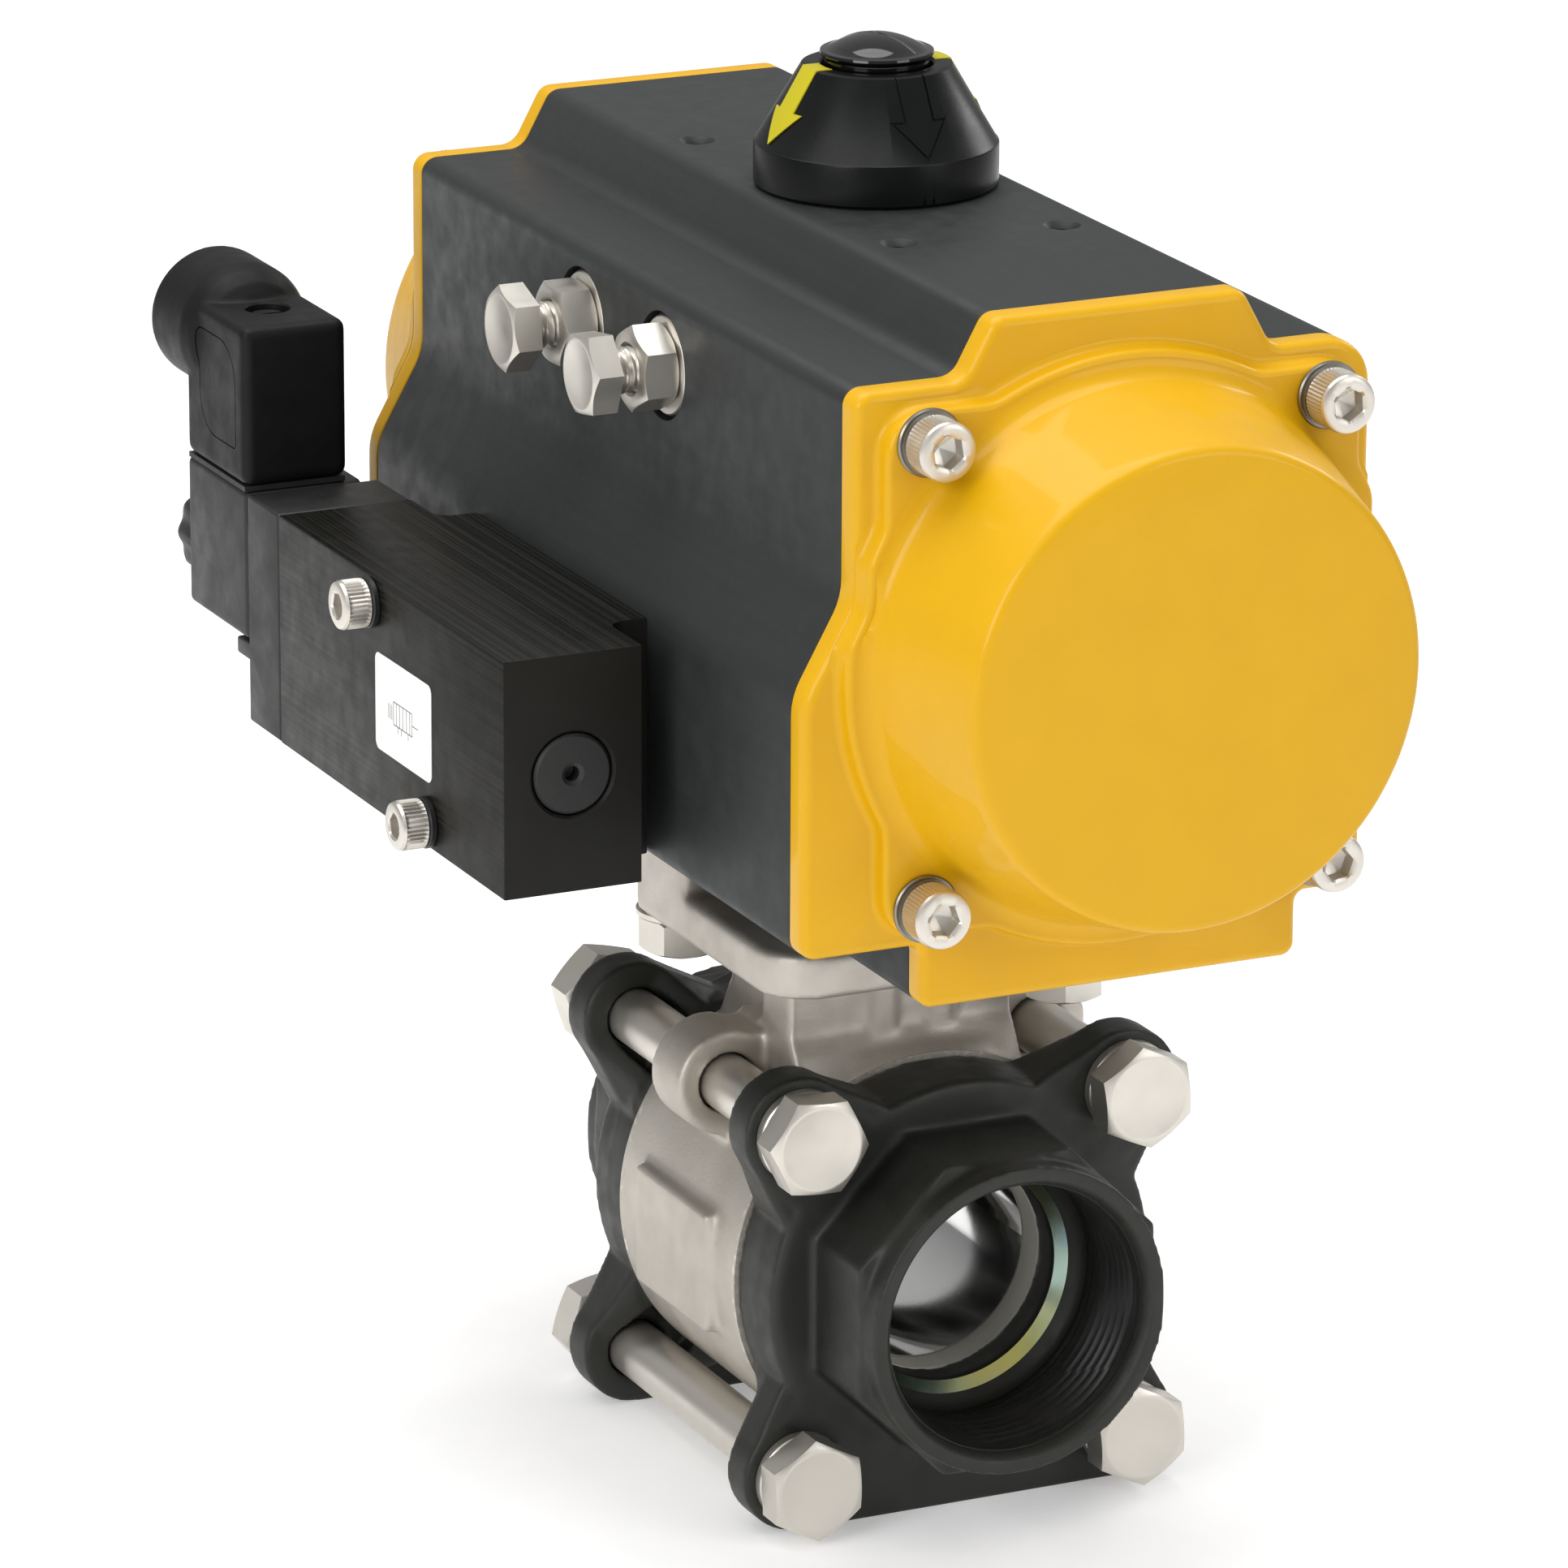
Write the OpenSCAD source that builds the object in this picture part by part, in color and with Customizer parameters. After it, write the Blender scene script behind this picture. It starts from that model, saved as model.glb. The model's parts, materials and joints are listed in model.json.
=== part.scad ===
// Double-acting rack-and-pinion actuator on a three-piece ball valve, with its pilot valve.
// Origin: on the valve stem axis, on the plane that the valve's end pieces rest on.
// +Z is up, Y runs along the pipe and the cylinder, the pilot valve is on the -X side.

/* [Actuator body] */
// Length of the extruded body
body_len = 172; // [168:1:184]
// Height of the cylinder axis above the base plane
cyl_z = 169; // [169:1:176]
// Bore of the cylinder
bore_d = 80; // [76:1:80]
// Half width of the body above the pilot valve face
body_half = 47.2; // [46.5:0.1:48]
// Distance of the plain side from the stem axis
right_half = 46.2; // [45.5:0.1:48]
// Distance of the pilot valve face from the stem axis
face_x = 56; // [55:0.5:56]
// Height of the raised top above the cylinder axis
top_rise = 57; // [55:0.5:58]
// Drop of the mounting face below the cylinder axis
foot_drop = 58; // [56:0.5:58]

/* [End caps] */
// Thickness of the cap's flange
cap_flange = 5; // [5:0.5:7]
// Thickness of the raised plateau over the flange
cap_plateau = 3.7; // [2:0.1:4]
// Distance from the body's end to the flat disc on the dome
cap_depth = 34.5; // [30:0.5:38]
// Radius of the flat disc
cap_disc_r = 39; // [36:0.5:40]
// Half spacing of the cap screws across
screw_x = 36; // [35.5:0.1:37]
// Half spacing of the cap screws in height
screw_z = 39; // [38:0.1:39]

/* [Rack and pinion] */
// Tooth module
tooth_m = 2; // [1.8:0.1:2]
// Number of teeth on the pinion
tooth_n = 16; // [14:2:16]
// Side clearance of each tooth flank
flank_gap = 0.1; // [0.06:0.01:0.2]
// Height of the toothed length
gear_h = 24; // [20:1:26]
// Thickness of a piston crown
crown_t = 14; // [12:1:15]

/* [Valve] */
// Height of the pipe axis above the base plane
pipe_z = 41; // [41:0.5:42]
// Half spacing of the tie bolts
tie_half = 31; // [31:0.5:32]
// Distance of each pipe mouth from the stem axis
mouth_y = 60; // [58:0.5:66]
// Diameter of the ball
ball_d = 58; // [56:1:59]
// Diameter of the flow way
port_d = 38; // [34:1:38]
// Diameter of the pipe mouth
mouth_d = 48; // [46:0.5:48.3]

/* [Pilot valve] */
// Front end of the valve block
block_front = -44; // [-46:0.5:-42]
// Back end of the valve block
block_back = 53.5; // [52:0.5:56]
// Outer face of the valve block
block_x = 88; // [86:0.5:90]
// Drop of the valve block's middle below the cylinder axis
block_drop = 25.5; // [25:0.5:26]
// Travel of the spool
spool_travel = 4; // [2:0.5:4]
// Travel of the armature
plunger_travel = 1.5; // [1:0.1:2]

/* [Hidden] */
$fn = 48;
half_len = body_len / 2;
bore_r = bore_d / 2;
top_z = cyl_z + top_rise;
foot_z = cyl_z - foot_drop;
shoulder = 47;
step_top = 22.5;
step_low = 28;
skirt_half = 34.5;
corner_r = 8;
face_top = -3.3;
face_blend = 12.4;
screw_depth = 16;

stop_z = cyl_z + 34;
stop_y = 16.5;
stop_tip = -9.05;
cam_r = 25;
cam_face = -9;
pocket_r = 27.5;
pocket_low = 20;
pocket_top = 41;

pitch_r = tooth_m * tooth_n / 2;
pressure = 20;
base_r = pitch_r * cos(pressure);
tip_r = pitch_r + tooth_m;
root_r = pitch_r - 1.05 * tooth_m;
tooth_pitch = PI * tooth_m;
stroke = pitch_r * PI / 2;
lower_r = 18.5;
upper_r = 12.5;
shaft_r = 9;
square_af = 14;
crown_shut = 34;
crown_in = crown_shut + stroke;
crown_out = crown_in + crown_t;
rack_end = 6.2;
rack_back = 28;

seat_y = half_len + cap_flange + cap_plateau;
disc_y = half_len + cap_depth;
dome_r = 45.5;
ring_r = 50;
ring_right = 45.2;
pad_left = 43.2;
pad_right = 42.4;
pad_rise = 44;

port_r = port_d / 2;
ball_r = ball_d / 2;
body_y = 24;
lobe_y = 29.5;
flange_y = 37.5;
disc_r = 37;
lobe_r = 10;
cavity_r = 31;
pad_half = 33;
pad_low = foot_z - 17.5;
pad_top = pad_low + 8;
bolt_xy = 24.75;

block_z = cyl_z - block_drop;
relief_x = 63.3;
spool_x = -75.6;
spool_z = block_z - 0.2;
coil_x = -77;
coil_z = block_z + 4.4;
coil_front = 68;
coil_back = 96;
coil_top = block_z + 20.8;
coil_low = block_z - 6.1;
plug_low = coil_top + 0.9;
plug_top = plug_low + 28.3;
plug_x = -78.75;
plug_screw_y = 80.3;
hub_r = 12;
hub_z = plug_top - 6.5;
hub_end = 106;
namur_y = 12;
namur_z = 16;
air_x = -43;
air_z = cyl_z - 37.5;

washer_t = 1.6;
stop_head = 5.3;
stop_head_x = -62.4;
stop_nut_h = 6.5;
stop_nut_x = 2 - body_half - washer_t;

pinion_end = foot_z + 0.5;
shaft_end = top_z + 15;
socket_top = foot_z + 19.5;

ind_low = top_z + 0.35;
ind_r = 20.8;
ind_rim = top_z + 7.5;
ind_neck_r = 12.7;
ind_neck = top_z + 20.8;
cap_r = 9.5;
cap_seat = ind_neck - 1.4;

seal_y = crown_in + crown_t / 2;
band_y = crown_in + 1;
band_w = 3.4;

block_low = block_z - 20.5;
block_top = block_z + 20.5;
spool_r = 6;
spool_front = -33;
spool_back = 46;
land_at = [-27, -10, 14, 34, 42.5];
port_at = [-22, 1, 24];

ear_y = [-9, 3];
ear_r = 9.6;
neck_x = 23.6;
neck_y = 18;
stem_r = 9;
nose_af = 56;
tang_half = 5;
stem_shoulder = pipe_z + ball_r + 2;
tie_washer = 2.2;
stud_low = pad_low - 8.9;

// ---------- shared shapes ----------

module along_y(r, y0, y1, x = 0, z = 0) {
    translate([x, y1, z]) rotate([90, 0, 0]) cylinder(r = r, h = y1 - y0);
}

module along_x(r, x0, x1, y = 0, z = 0) {
    translate([x0, y, z]) rotate([0, 90, 0]) cylinder(r = r, h = x1 - x0);
}

module along_z(r, z0, z1, x = 0, y = 0) {
    translate([x, y, z0]) cylinder(r = r, h = z1 - z0);
}

module block(low, high) {
    translate(low) cube(high - low);
}

// A ring of round section about the Z axis
module o_ring(r, section) {
    rotate_extrude() translate([r, 0]) circle(r = section, $fn = 24);
}

module ring(outer, inner, height) {
    difference() {
        cylinder(r = outer, h = height);
        translate([0, 0, -1]) cylinder(r = inner, h = height + 2);
    }
}

// Six-sided prism standing on the XY plane
module hex(af, height) {
    cylinder(d = af / cos(30), h = height, $fn = 6);
}

// Socket head screw along Z: the underside of the head is at z = 0 and the shank goes down
module socket_screw(d, head_d, head_h, length, socket_af) {
    difference() {
        union() {
            cylinder(d = head_d, h = head_h);
            translate([0, 0, -length]) cylinder(d = d, h = length + 1);
        }
        translate([0, 0, head_h * 0.45]) hex(socket_af, head_h);
    }
}

// Hexagon nut standing on the XY plane
module nut(af, d, height) {
    difference() {
        hex(af, height);
        translate([0, 0, -1]) cylinder(d = d, h = height + 2);
    }
}

// Everything that is the same at both ends of the cylinder or pipe
module both_ends() {
    children();
    rotate([0, 0, 180]) children();
}

module at_tie_bolts() {
    for (x = [-tie_half, tie_half], z = [-tie_half, tie_half])
        translate([x, 0, pipe_z + z]) children();
}

module at_cap_screws() {
    for (x = [-screw_x, screw_x], z = [-screw_z, screw_z])
        translate([x, 0, cyl_z + z]) children();
}

module at_stops() {
    for (y = [-stop_y, stop_y])
        translate([0, y, stop_z]) children();
}

// The two mounting studs stand at opposite corners of the pad
module at_studs() {
    both_ends() translate([-bolt_xy, bolt_xy, 0]) children();
}

// ---------- tooth profile ----------

function polar(r, a) = [r * cos(a), r * sin(a)];
function roll(r) = sqrt(max(0, pow(r / base_r, 2) - 1));
function involute(r) = roll(r) * 180 / PI - atan(roll(r));
flank_r = [for (i = [0 : 4]) base_r + (tip_r - base_r) * i / 4];
half_tooth = 90 / tooth_n - flank_gap / pitch_r * 180 / PI + involute(pitch_r);
function flank(side) = [for (r = flank_r) [r, side * (half_tooth - involute(r))]];
function tooth(a) = concat(
    [polar(root_r, a - half_tooth)],
    [for (p = flank(-1)) polar(p[0], a + p[1])],
    [for (i = [4 : -1 : 0]) polar(flank(1)[i][0], a + flank(1)[i][1])],
    [polar(root_r, a + half_tooth)]);
pinion_outline = [for (k = [0 : tooth_n - 1]) each tooth(k * 360 / tooth_n)];

rack_add = 0.8 * tooth_m;
rack_ded = 1.25 * tooth_m;
// One tooth of the rack on the -X side, centred at y, as four corners
function rack_tooth(y) = let(
        half = tooth_pitch / 4 - flank_gap,
        low = half + rack_ded * tan(pressure),
        high = half - rack_add * tan(pressure))
    [[-pitch_r - rack_ded, y - low], [-pitch_r + rack_add, y - high],
     [-pitch_r + rack_add, y + high], [-pitch_r - rack_ded, y + low]];

// ---------- actuator ----------

module body_outline() {
    polygon([[-step_top, top_rise], [step_top, top_rise], [step_low, shoulder],
        [right_half - corner_r, shoulder], [right_half, shoulder - corner_r],
        [right_half, corner_r - shoulder], [right_half - corner_r, -shoulder], [skirt_half, -shoulder],
        [skirt_half, -foot_drop], [-skirt_half, -foot_drop], [-skirt_half, -shoulder],
        [-face_x, -shoulder], [-face_x, face_top], [-body_half, face_blend],
        [-body_half, shoulder], [-step_low, shoulder]]);
    for (s = [-1, 1]) translate([right_half - corner_r, s * (shoulder - corner_r)]) circle(r = corner_r);
}

module body_extrusion(length) {
    translate([0, length / 2, cyl_z]) rotate([90, 0, 0]) linear_extrude(length) body_outline();
}

module actuator_body() {
    color("#2f3133") difference() {
        body_extrusion(body_len);
        along_y(bore_r, -half_len - 1, half_len + 1, 0, cyl_z);
        along_z(pocket_r, cyl_z + pocket_low, cyl_z + pocket_top);
        along_z(lower_r + 2, foot_z - 1, cyl_z - 30);
        along_z(upper_r + 2, cyl_z + 30, top_z + 1);
        both_ends() at_cap_screws() along_y(3, -half_len - 1, -half_len + screw_depth);
        at_stops() along_x(4, -face_x, 0);
        at_stops() along_x(9.25, -face_x, -body_half + 2);
        for (x = [-15, 15], y = [-40, 40]) along_z(2.5, top_z - 10, top_z + 1, x, y);
        for (x = [-bolt_xy, bolt_xy], y = [-bolt_xy, bolt_xy])
            along_z(4, foot_z - 1, foot_z + 13, x, y);
        along_y(3, -half_len - 1, half_len + 1, air_x, air_z);
        along_z(3, air_z, block_z, air_x, namur_y);
        along_x(4, -face_x - 1, -30, -namur_y, block_z);
        along_x(4, -face_x - 1, air_x, namur_y, block_z);
        for (y = [-namur_y, namur_y], z = [-namur_z, namur_z])
            along_x(2.5, -face_x - 1, -face_x + 9, y, block_z + z);
    }
}

// The plateau's outline: the ring round the dome and one pad under the four screws
module plateau_outline() {
    translate([-pad_left, -pad_rise]) square([pad_left + pad_right, 2 * pad_rise]);
    intersection() {
        circle(r = ring_r);
        translate([-ring_r, -ring_r]) square([ring_r + ring_right, 2 * ring_r]);
    }
}

module end_cap() {
    difference() {
        union() {
            translate([0, -half_len, cyl_z]) rotate([90, 0, 0])
                linear_extrude(cap_flange) body_outline();
            translate([0, -half_len - 1, cyl_z]) rotate([90, 0, 0])
                linear_extrude(cap_flange + cap_plateau - 1) plateau_outline();
            translate([0, 0, cyl_z]) rotate([90, 0, 0]) rotate_extrude($fn = 96)
                polygon([[0, half_len + 1], [dome_r, half_len + 1], [dome_r, seat_y],
                    [cap_disc_r + 1.2, disc_y - 1], [cap_disc_r, disc_y], [0, disc_y]]);
        }
        translate([0, 0, cyl_z]) rotate([90, 0, 0]) rotate_extrude($fn = 96)
            polygon([[0, half_len - 1], [bore_r - 1, half_len - 1], [bore_r - 1, seat_y],
                [cap_disc_r - 5, disc_y - 5], [0, disc_y - 5]]);
        at_cap_screws() along_y(3.2, -seat_y - 30, -half_len + 1);
        translate([0, -half_len, cyl_z]) rotate([90, 0, 0]) o_ring(43, 1.2);
        along_y(2, -half_len - 4, -half_len + 1, air_x, air_z);
        translate([air_x, -half_len - 3, air_z]) rotate([0, atan2(-air_x, cyl_z - air_z), 0])
            cylinder(r = 1.5, h = 22);
    }
}

module front_end_cap() {
    color("#e8a71e") end_cap();
}

// The back cap is the front cap mirrored, so that its outline follows the same extrusion
module rear_end_cap() {
    color("#e8a71e") mirror([0, 1, 0]) end_cap();
}

module cap_seals() {
    translate([0, -half_len, cyl_z]) rotate([90, 0, 0]) o_ring(43, 1.2);
}

module front_cap_seals() {
    color("#202020") intersection() {
        cap_seals();
        block([-60, -half_len - 5, cyl_z - 60], [60, -half_len, cyl_z + 60]);
    }
}

module rear_cap_seals() {
    color("#202020") mirror([0, 1, 0]) intersection() {
        cap_seals();
        block([-60, -half_len - 5, cyl_z - 60], [60, -half_len, cyl_z + 60]);
    }
}

module end_cap_screws() {
    color("#c9c6c0") both_ends() at_cap_screws()
        translate([0, -seat_y - washer_t, 0]) rotate([90, 0, 0]) socket_screw(6, 10, 6, 24, 5);
}

module end_cap_washers() {
    color("#c9c6c0") both_ends() at_cap_screws()
        translate([0, -seat_y, 0]) rotate([90, 0, 0]) ring(6, 3.2, washer_t);
}

module travel_stop_bolts() {
    color("#c9c6c0") at_stops() {
        translate([stop_head_x, 0, 0]) rotate([0, 90, 0]) hex(13, stop_head);
        along_x(4, stop_head_x + 1, stop_tip);
    }
}

module travel_stop_nuts() {
    color("#c9c6c0") at_stops()
        translate([stop_nut_x - stop_nut_h, 0, 0]) rotate([0, 90, 0]) nut(13, 8, stop_nut_h);
}

module travel_stop_washers() {
    color("#b5b2ac") at_stops()
        translate([stop_nut_x, 0, 0]) rotate([0, 90, 0]) ring(8.4, 4, washer_t);
}

module upper_pinion_bearing() {
    color("#e6e2d4") translate([0, 0, cyl_z + pocket_top]) ring(upper_r + 2, upper_r + 0.05, 10);
}

module lower_pinion_bearing() {
    color("#e6e2d4") translate([0, 0, foot_z + 6]) ring(lower_r + 2, lower_r + 0.05, 10);
}

module thrust_washer() {
    color("#e6e2d4") translate([0, 0, top_z]) ring(18, upper_r + 0.3, 1.2);
}

// One ring seals each journal of the pinion
module journal_rings() {
    translate([0, 0, foot_z + 3.2]) o_ring(lower_r, 1.95);
    translate([0, 0, top_z - 3]) o_ring(upper_r, 1.95);
}

module pinion() {
    color("#8f9296") difference() {
        union() {
            along_z(lower_r, pinion_end, cyl_z - gear_h / 2 - 3);
            translate([0, 0, cyl_z - gear_h / 2 - 3]) linear_extrude(gear_h + 6) polygon(pinion_outline);
            along_z(upper_r, cyl_z + gear_h / 2 + 1, top_z + 4);
            along_z(shaft_r, top_z, shaft_end);
        }
        block([-square_af / 2, -square_af / 2, pinion_end - 1], [square_af / 2, square_af / 2, socket_top]);
        journal_rings();
        translate([0, 0, top_z + 1.4]) ring(upper_r + 2, upper_r - 1.2, 1.2);
        along_z(3, shaft_end - 12, shaft_end + 1);
    }
}

// A quarter-round cam: its flat flanks meet the two travel stops a quarter turn apart
module stop_cam() {
    color("#8f9296") translate([0, 0, stop_z - 6]) difference() {
        union() {
            cylinder(r = 15.5, h = 12);
            intersection() {
                cylinder(r = cam_r, h = 12);
                translate([cam_face, cam_face, 0]) cube([2 * cam_r, 2 * cam_r, 12]);
            }
        }
        translate([0, 0, -1]) cylinder(r = upper_r, h = 14);
    }
}

module retaining_ring() {
    color("#9a9a96") translate([0, 0, top_z + 1.4]) difference() {
        ring(15.5, upper_r - 1.2, 1.2);
        translate([-2, 0, -1]) cube([4, 20, 4]);
    }
}

module pinion_seals() {
    color("#202020") journal_rings();
}

// ---------- position indicator ----------

function cone_r(z) = ind_r + (ind_neck_r - ind_r) * (z - ind_rim) / (ind_neck - ind_rim);

// Arrow pointing down the cone towards -X, seen along X
module arrow_outline() {
    polygon([[-2.6, ind_neck + 3], [2.6, ind_neck + 3], [2.6, ind_rim + 6.4], [4.8, ind_rim + 6.4],
        [0, ind_rim + 1], [-4.8, ind_rim + 6.4], [-2.6, ind_rim + 6.4]]);
}

module arrow_prism() {
    rotate([90, 0, -90]) linear_extrude(30) arrow_outline();
}

// Thin skin of the cone between two depths below its surface
module cone_skin(depth, proud) {
    rotate_extrude($fn = 96) polygon([
        [cone_r(ind_rim + 0.6) - depth, ind_rim + 0.6], [cone_r(ind_rim + 0.6) + proud, ind_rim + 0.6],
        [ind_neck_r + proud, ind_neck + proud], [cap_r + 0.4, ind_neck + proud],
        [cap_r + 0.4, ind_neck - depth], [ind_neck_r - depth, ind_neck - depth]]);
}

module arrow_inlays() {
    both_ends() intersection() {
        cone_skin(0.6, 0.12);
        arrow_prism();
    }
}

module position_indicator() {
    color("#26282a") difference() {
        rotate_extrude($fn = 96) polygon([[18.4, ind_low], [ind_r, ind_low], [ind_r, ind_rim - 0.4],
            [ind_r - 0.4, ind_rim], [ind_neck_r, ind_neck], [cap_r, ind_neck], [cap_r, cap_seat],
            [3.2, cap_seat], [3.2, shaft_end], [shaft_r, shaft_end], [shaft_r, shaft_end - 8],
            [18.4, shaft_end - 8]]);
        arrow_inlays();
        for (a = [0, 180]) rotate([0, 0, a]) translate([-0.4, -ind_r - 1, ind_low - 1])
            cube([0.8, 1.6, 3]);
    }
}

module indicator_arrows() {
    color("#ddd33a") arrow_inlays();
}

module indicator_screw() {
    color("#c9c6c0") translate([0, 0, cap_seat]) difference() {
        union() {
            cylinder(r = 5.5, h = 1.4);
            translate([0, 0, -16]) cylinder(r = 3, h = 17);
        }
        translate([0, 0, 0.4]) hex(3.5, 2);
    }
}

// Glossy hollow button that snaps in over the screw
module indicator_dome() {
    color("#141516") rotate_extrude($fn = 96) polygon([[5.7, cap_seat + 0.1], [cap_r - 0.1, cap_seat + 0.1],
        [cap_r - 0.1, ind_neck + 1.2], [8.6, ind_neck + 2.2], [6.4, ind_neck + 3.8],
        [3.2, ind_neck + 4.9], [0, ind_neck + 5.2], [0, ind_neck + 2], [5.7, ind_neck + 2]]);
}

// ---------- pistons ----------

// Toothed bar on the -X side of the pinion, from the crown to just past the pinion's centre
module rack_profile() {
    teeth = [for (k = [-6 : 0]) rack_tooth((k + 0.5) * tooth_pitch)];
    polygon(concat([[-rack_back, -crown_in - 1], [-pitch_r - rack_ded, -crown_in - 1]],
        [for (t = teeth) each t], [[-pitch_r - rack_ded, rack_end], [-rack_back, rack_end]]));
}

// Crown and rack in one piece, as it stands on the -Y side
module piston() {
    difference() {
        union() {
            along_y(bore_r - 0.4, -crown_out, -crown_in, 0, cyl_z);
            translate([0, 0, cyl_z - gear_h / 2]) linear_extrude(gear_h) rack_profile();
            block([-rack_back - 4, -crown_in - 2, cyl_z - gear_h / 2],
                [-pitch_r - rack_ded, -crown_in + 8, cyl_z + gear_h / 2]);
        }
        piston_ring();
        translate([0, -band_y, cyl_z]) rotate([90, 0, 0]) ring(bore_r + 1, bore_r - 2, band_w);
        along_y(14, -crown_out - 1, -crown_out + 6, 0, cyl_z);
    }
}

module piston_ring() {
    translate([0, -seal_y, cyl_z]) rotate([90, 0, 0]) o_ring(bore_r - 2.4, 2.2);
}

module guide_band() {
    translate([0, -band_y, cyl_z]) rotate([90, 0, 0]) ring(bore_r - 0.1, bore_r - 2, band_w);
}

module front_piston() {
    color("#a9adb1") piston();
}

module rear_piston() {
    color("#a9adb1") rotate([0, 0, 180]) piston();
}

module front_piston_seal() {
    color("#202020") piston_ring();
}

module rear_piston_seal() {
    color("#202020") rotate([0, 0, 180]) piston_ring();
}

module front_guide_band() {
    color("#e6e2d4") guide_band();
}

module rear_guide_band() {
    color("#e6e2d4") rotate([0, 0, 180]) guide_band();
}

// ---------- pilot valve ----------

module at_block_screws() {
    translate([0, namur_y, block_z + namur_z]) children();
    translate([0, -namur_y, block_z - namur_z]) children();
}

module at_interface_ports() {
    for (y = [-namur_y, namur_y]) translate([-face_x, y, block_z]) children();
}

module pilot_block() {
    color("#1d1e20") difference() {
        block([-block_x, block_front, block_low], [-face_x, block_back, block_top]);
        block([-relief_x, block_front - 1, block_low - 1], [-face_x + 1, -33, block_top + 1]);
        block([-relief_x + 3, block_front, block_low - 1], [-face_x + 1, -30, block_top + 1]);
        along_z(3, block_low - 1, block_top + 1, -relief_x + 3, -33);
        block([-relief_x, 41, block_low - 1], [-face_x + 1, block_back + 1, block_top + 1]);
        along_y(spool_r, block_front - 1, block_back + 1, spool_x, spool_z);
        along_y(7.2, block_front - 1, block_front + 7, spool_x, spool_z);
        at_interface_ports() along_x(4, -20, 1);
        at_interface_ports() along_x(6.5, -1.2, 1);
        at_block_screws() along_x(2.7, -block_x - 1, -face_x + 1);
        for (y = port_at) {
            along_z(4, block_low + 4, spool_z, spool_x, y);
            along_z(5.6, block_low - 1, block_low + 11, spool_x, y);
        }
    }
}

module interface_seals() {
    color("#202020") at_interface_ports() intersection() {
        translate([0.3, 0, 0]) rotate([0, 90, 0]) o_ring(5.2, 1.25);
        block([-3, -10, -10], [0, 10, 10]);
    }
}

module block_end_plug() {
    color("#26282a") difference() {
        along_y(7, block_front - 0.4, block_front + 6.8, spool_x, spool_z);
        along_y(1.3, block_front - 1, block_front + 3, spool_x, spool_z);
        plug_ring();
    }
}

module plug_ring() {
    translate([spool_x, block_front + 4.6, spool_z]) rotate([90, 0, 0]) o_ring(6.3, 0.85);
}

module plug_seal() {
    color("#202020") plug_ring();
}

module block_screws() {
    color("#c9c6c0") at_block_screws()
        translate([-block_x - 1.3, 0, 0]) rotate([0, -90, 0]) socket_screw(5, 8.5, 5, 41, 4);
}

module block_lock_washers() {
    color("#8c8a86") at_block_screws() translate([-block_x, 0, 0]) rotate([0, -90, 0]) difference() {
        ring(4.3, 2.6, 1.3);
        translate([0, -0.4, -1]) cube([10, 0.8, 4]);
    }
}

module block_label() {
    color("#f2f2f0") translate([-block_x, -1.8, block_z - 0.5]) rotate([90, 0, -90])
        linear_extrude(0.15) difference() {
            square([24, 17], center = true);
            for (x = [-12, 12], y = [-8.5, 8.5]) translate([x, y]) difference() {
                square(3, center = true);
                translate([-1.5 * sign(x), -1.5 * sign(y)]) circle(r = 1.5);
            }
        }
}

// Spool with five lands, turned about the Y axis
module spool() {
    color("#b8bcc0") difference() {
        union() {
            along_y(3.4, spool_front, spool_back, spool_x, spool_z);
            for (y = land_at) along_y(spool_r - 0.15, y - 3.5, y + 3.5, spool_x, spool_z);
        }
        spool_rings();
    }
}

module spool_rings() {
    for (y = land_at) translate([spool_x, y, spool_z]) rotate([90, 0, 0]) o_ring(spool_r - 1, 0.95);
}

module spool_seals() {
    color("#202020") spool_rings();
}

// Closed outline of the return spring between the plug and the spool's front land
module spool_spring() {
    color("#9a9a96") translate([spool_x, block_front + 7, spool_z]) rotate([-90, 0, 0])
        ring(5.2, 4, 6);
}

module pilot_adapter() {
    color("#1b1c1e") difference() {
        union() {
            block([-block_x, block_back, block_low], [-relief_x, coil_front, block_top]);
            block([-block_x, coil_front - 1, block_low + 11], [-relief_x - 2, 73.5, coil_low - 0.2]);
        }
        along_y(6.5, coil_front - 8, coil_front + 1, coil_x, coil_z);
        along_y(1.5, block_back - 1, coil_front - 7, coil_x, coil_z);
        along_y(3, block_back - 1, block_back + 5, spool_x, spool_z);
    }
}

module armature_tube() {
    color("#b8bcc0") difference() {
        union() {
            along_y(6.4, coil_front - 7, coil_front, coil_x, coil_z);
            along_y(5.5, coil_front - 7, coil_back + 6, coil_x, coil_z);
        }
        along_y(4.3, coil_front - 8, coil_back - 6, coil_x, coil_z);
    }
}

module plunger() {
    color("#8f9296") difference() {
        along_y(4, coil_front - 4, coil_back - 12, coil_x, coil_z);
        along_y(2.6, coil_back - 17, coil_back - 11, coil_x, coil_z);
    }
}

module plunger_spring() {
    color("#9a9a96") translate([coil_x, coil_back - 16.8, coil_z]) rotate([-90, 0, 0]) ring(2.4, 1.8, 10.6);
}

module solenoid_coil() {
    color("#1f2123") difference() {
        block([-block_x, coil_front, coil_low], [-66, coil_back, coil_top]);
        along_y(5.7, coil_front - 1, coil_back + 1, coil_x, coil_z);
    }
}

module coil_nut() {
    color("#1a1b1d") translate([coil_x, coil_back, coil_z]) rotate([-90, 0, 0]) difference() {
        rotate_extrude() polygon([[0, 0], [9.6, 0], [10.3, 1.2], [10.2, 6.8], [8.2, 10.3], [0, 11]]);
        translate([0, 0, -1]) cylinder(r = 5.5, h = 7);
    }
}

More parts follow.
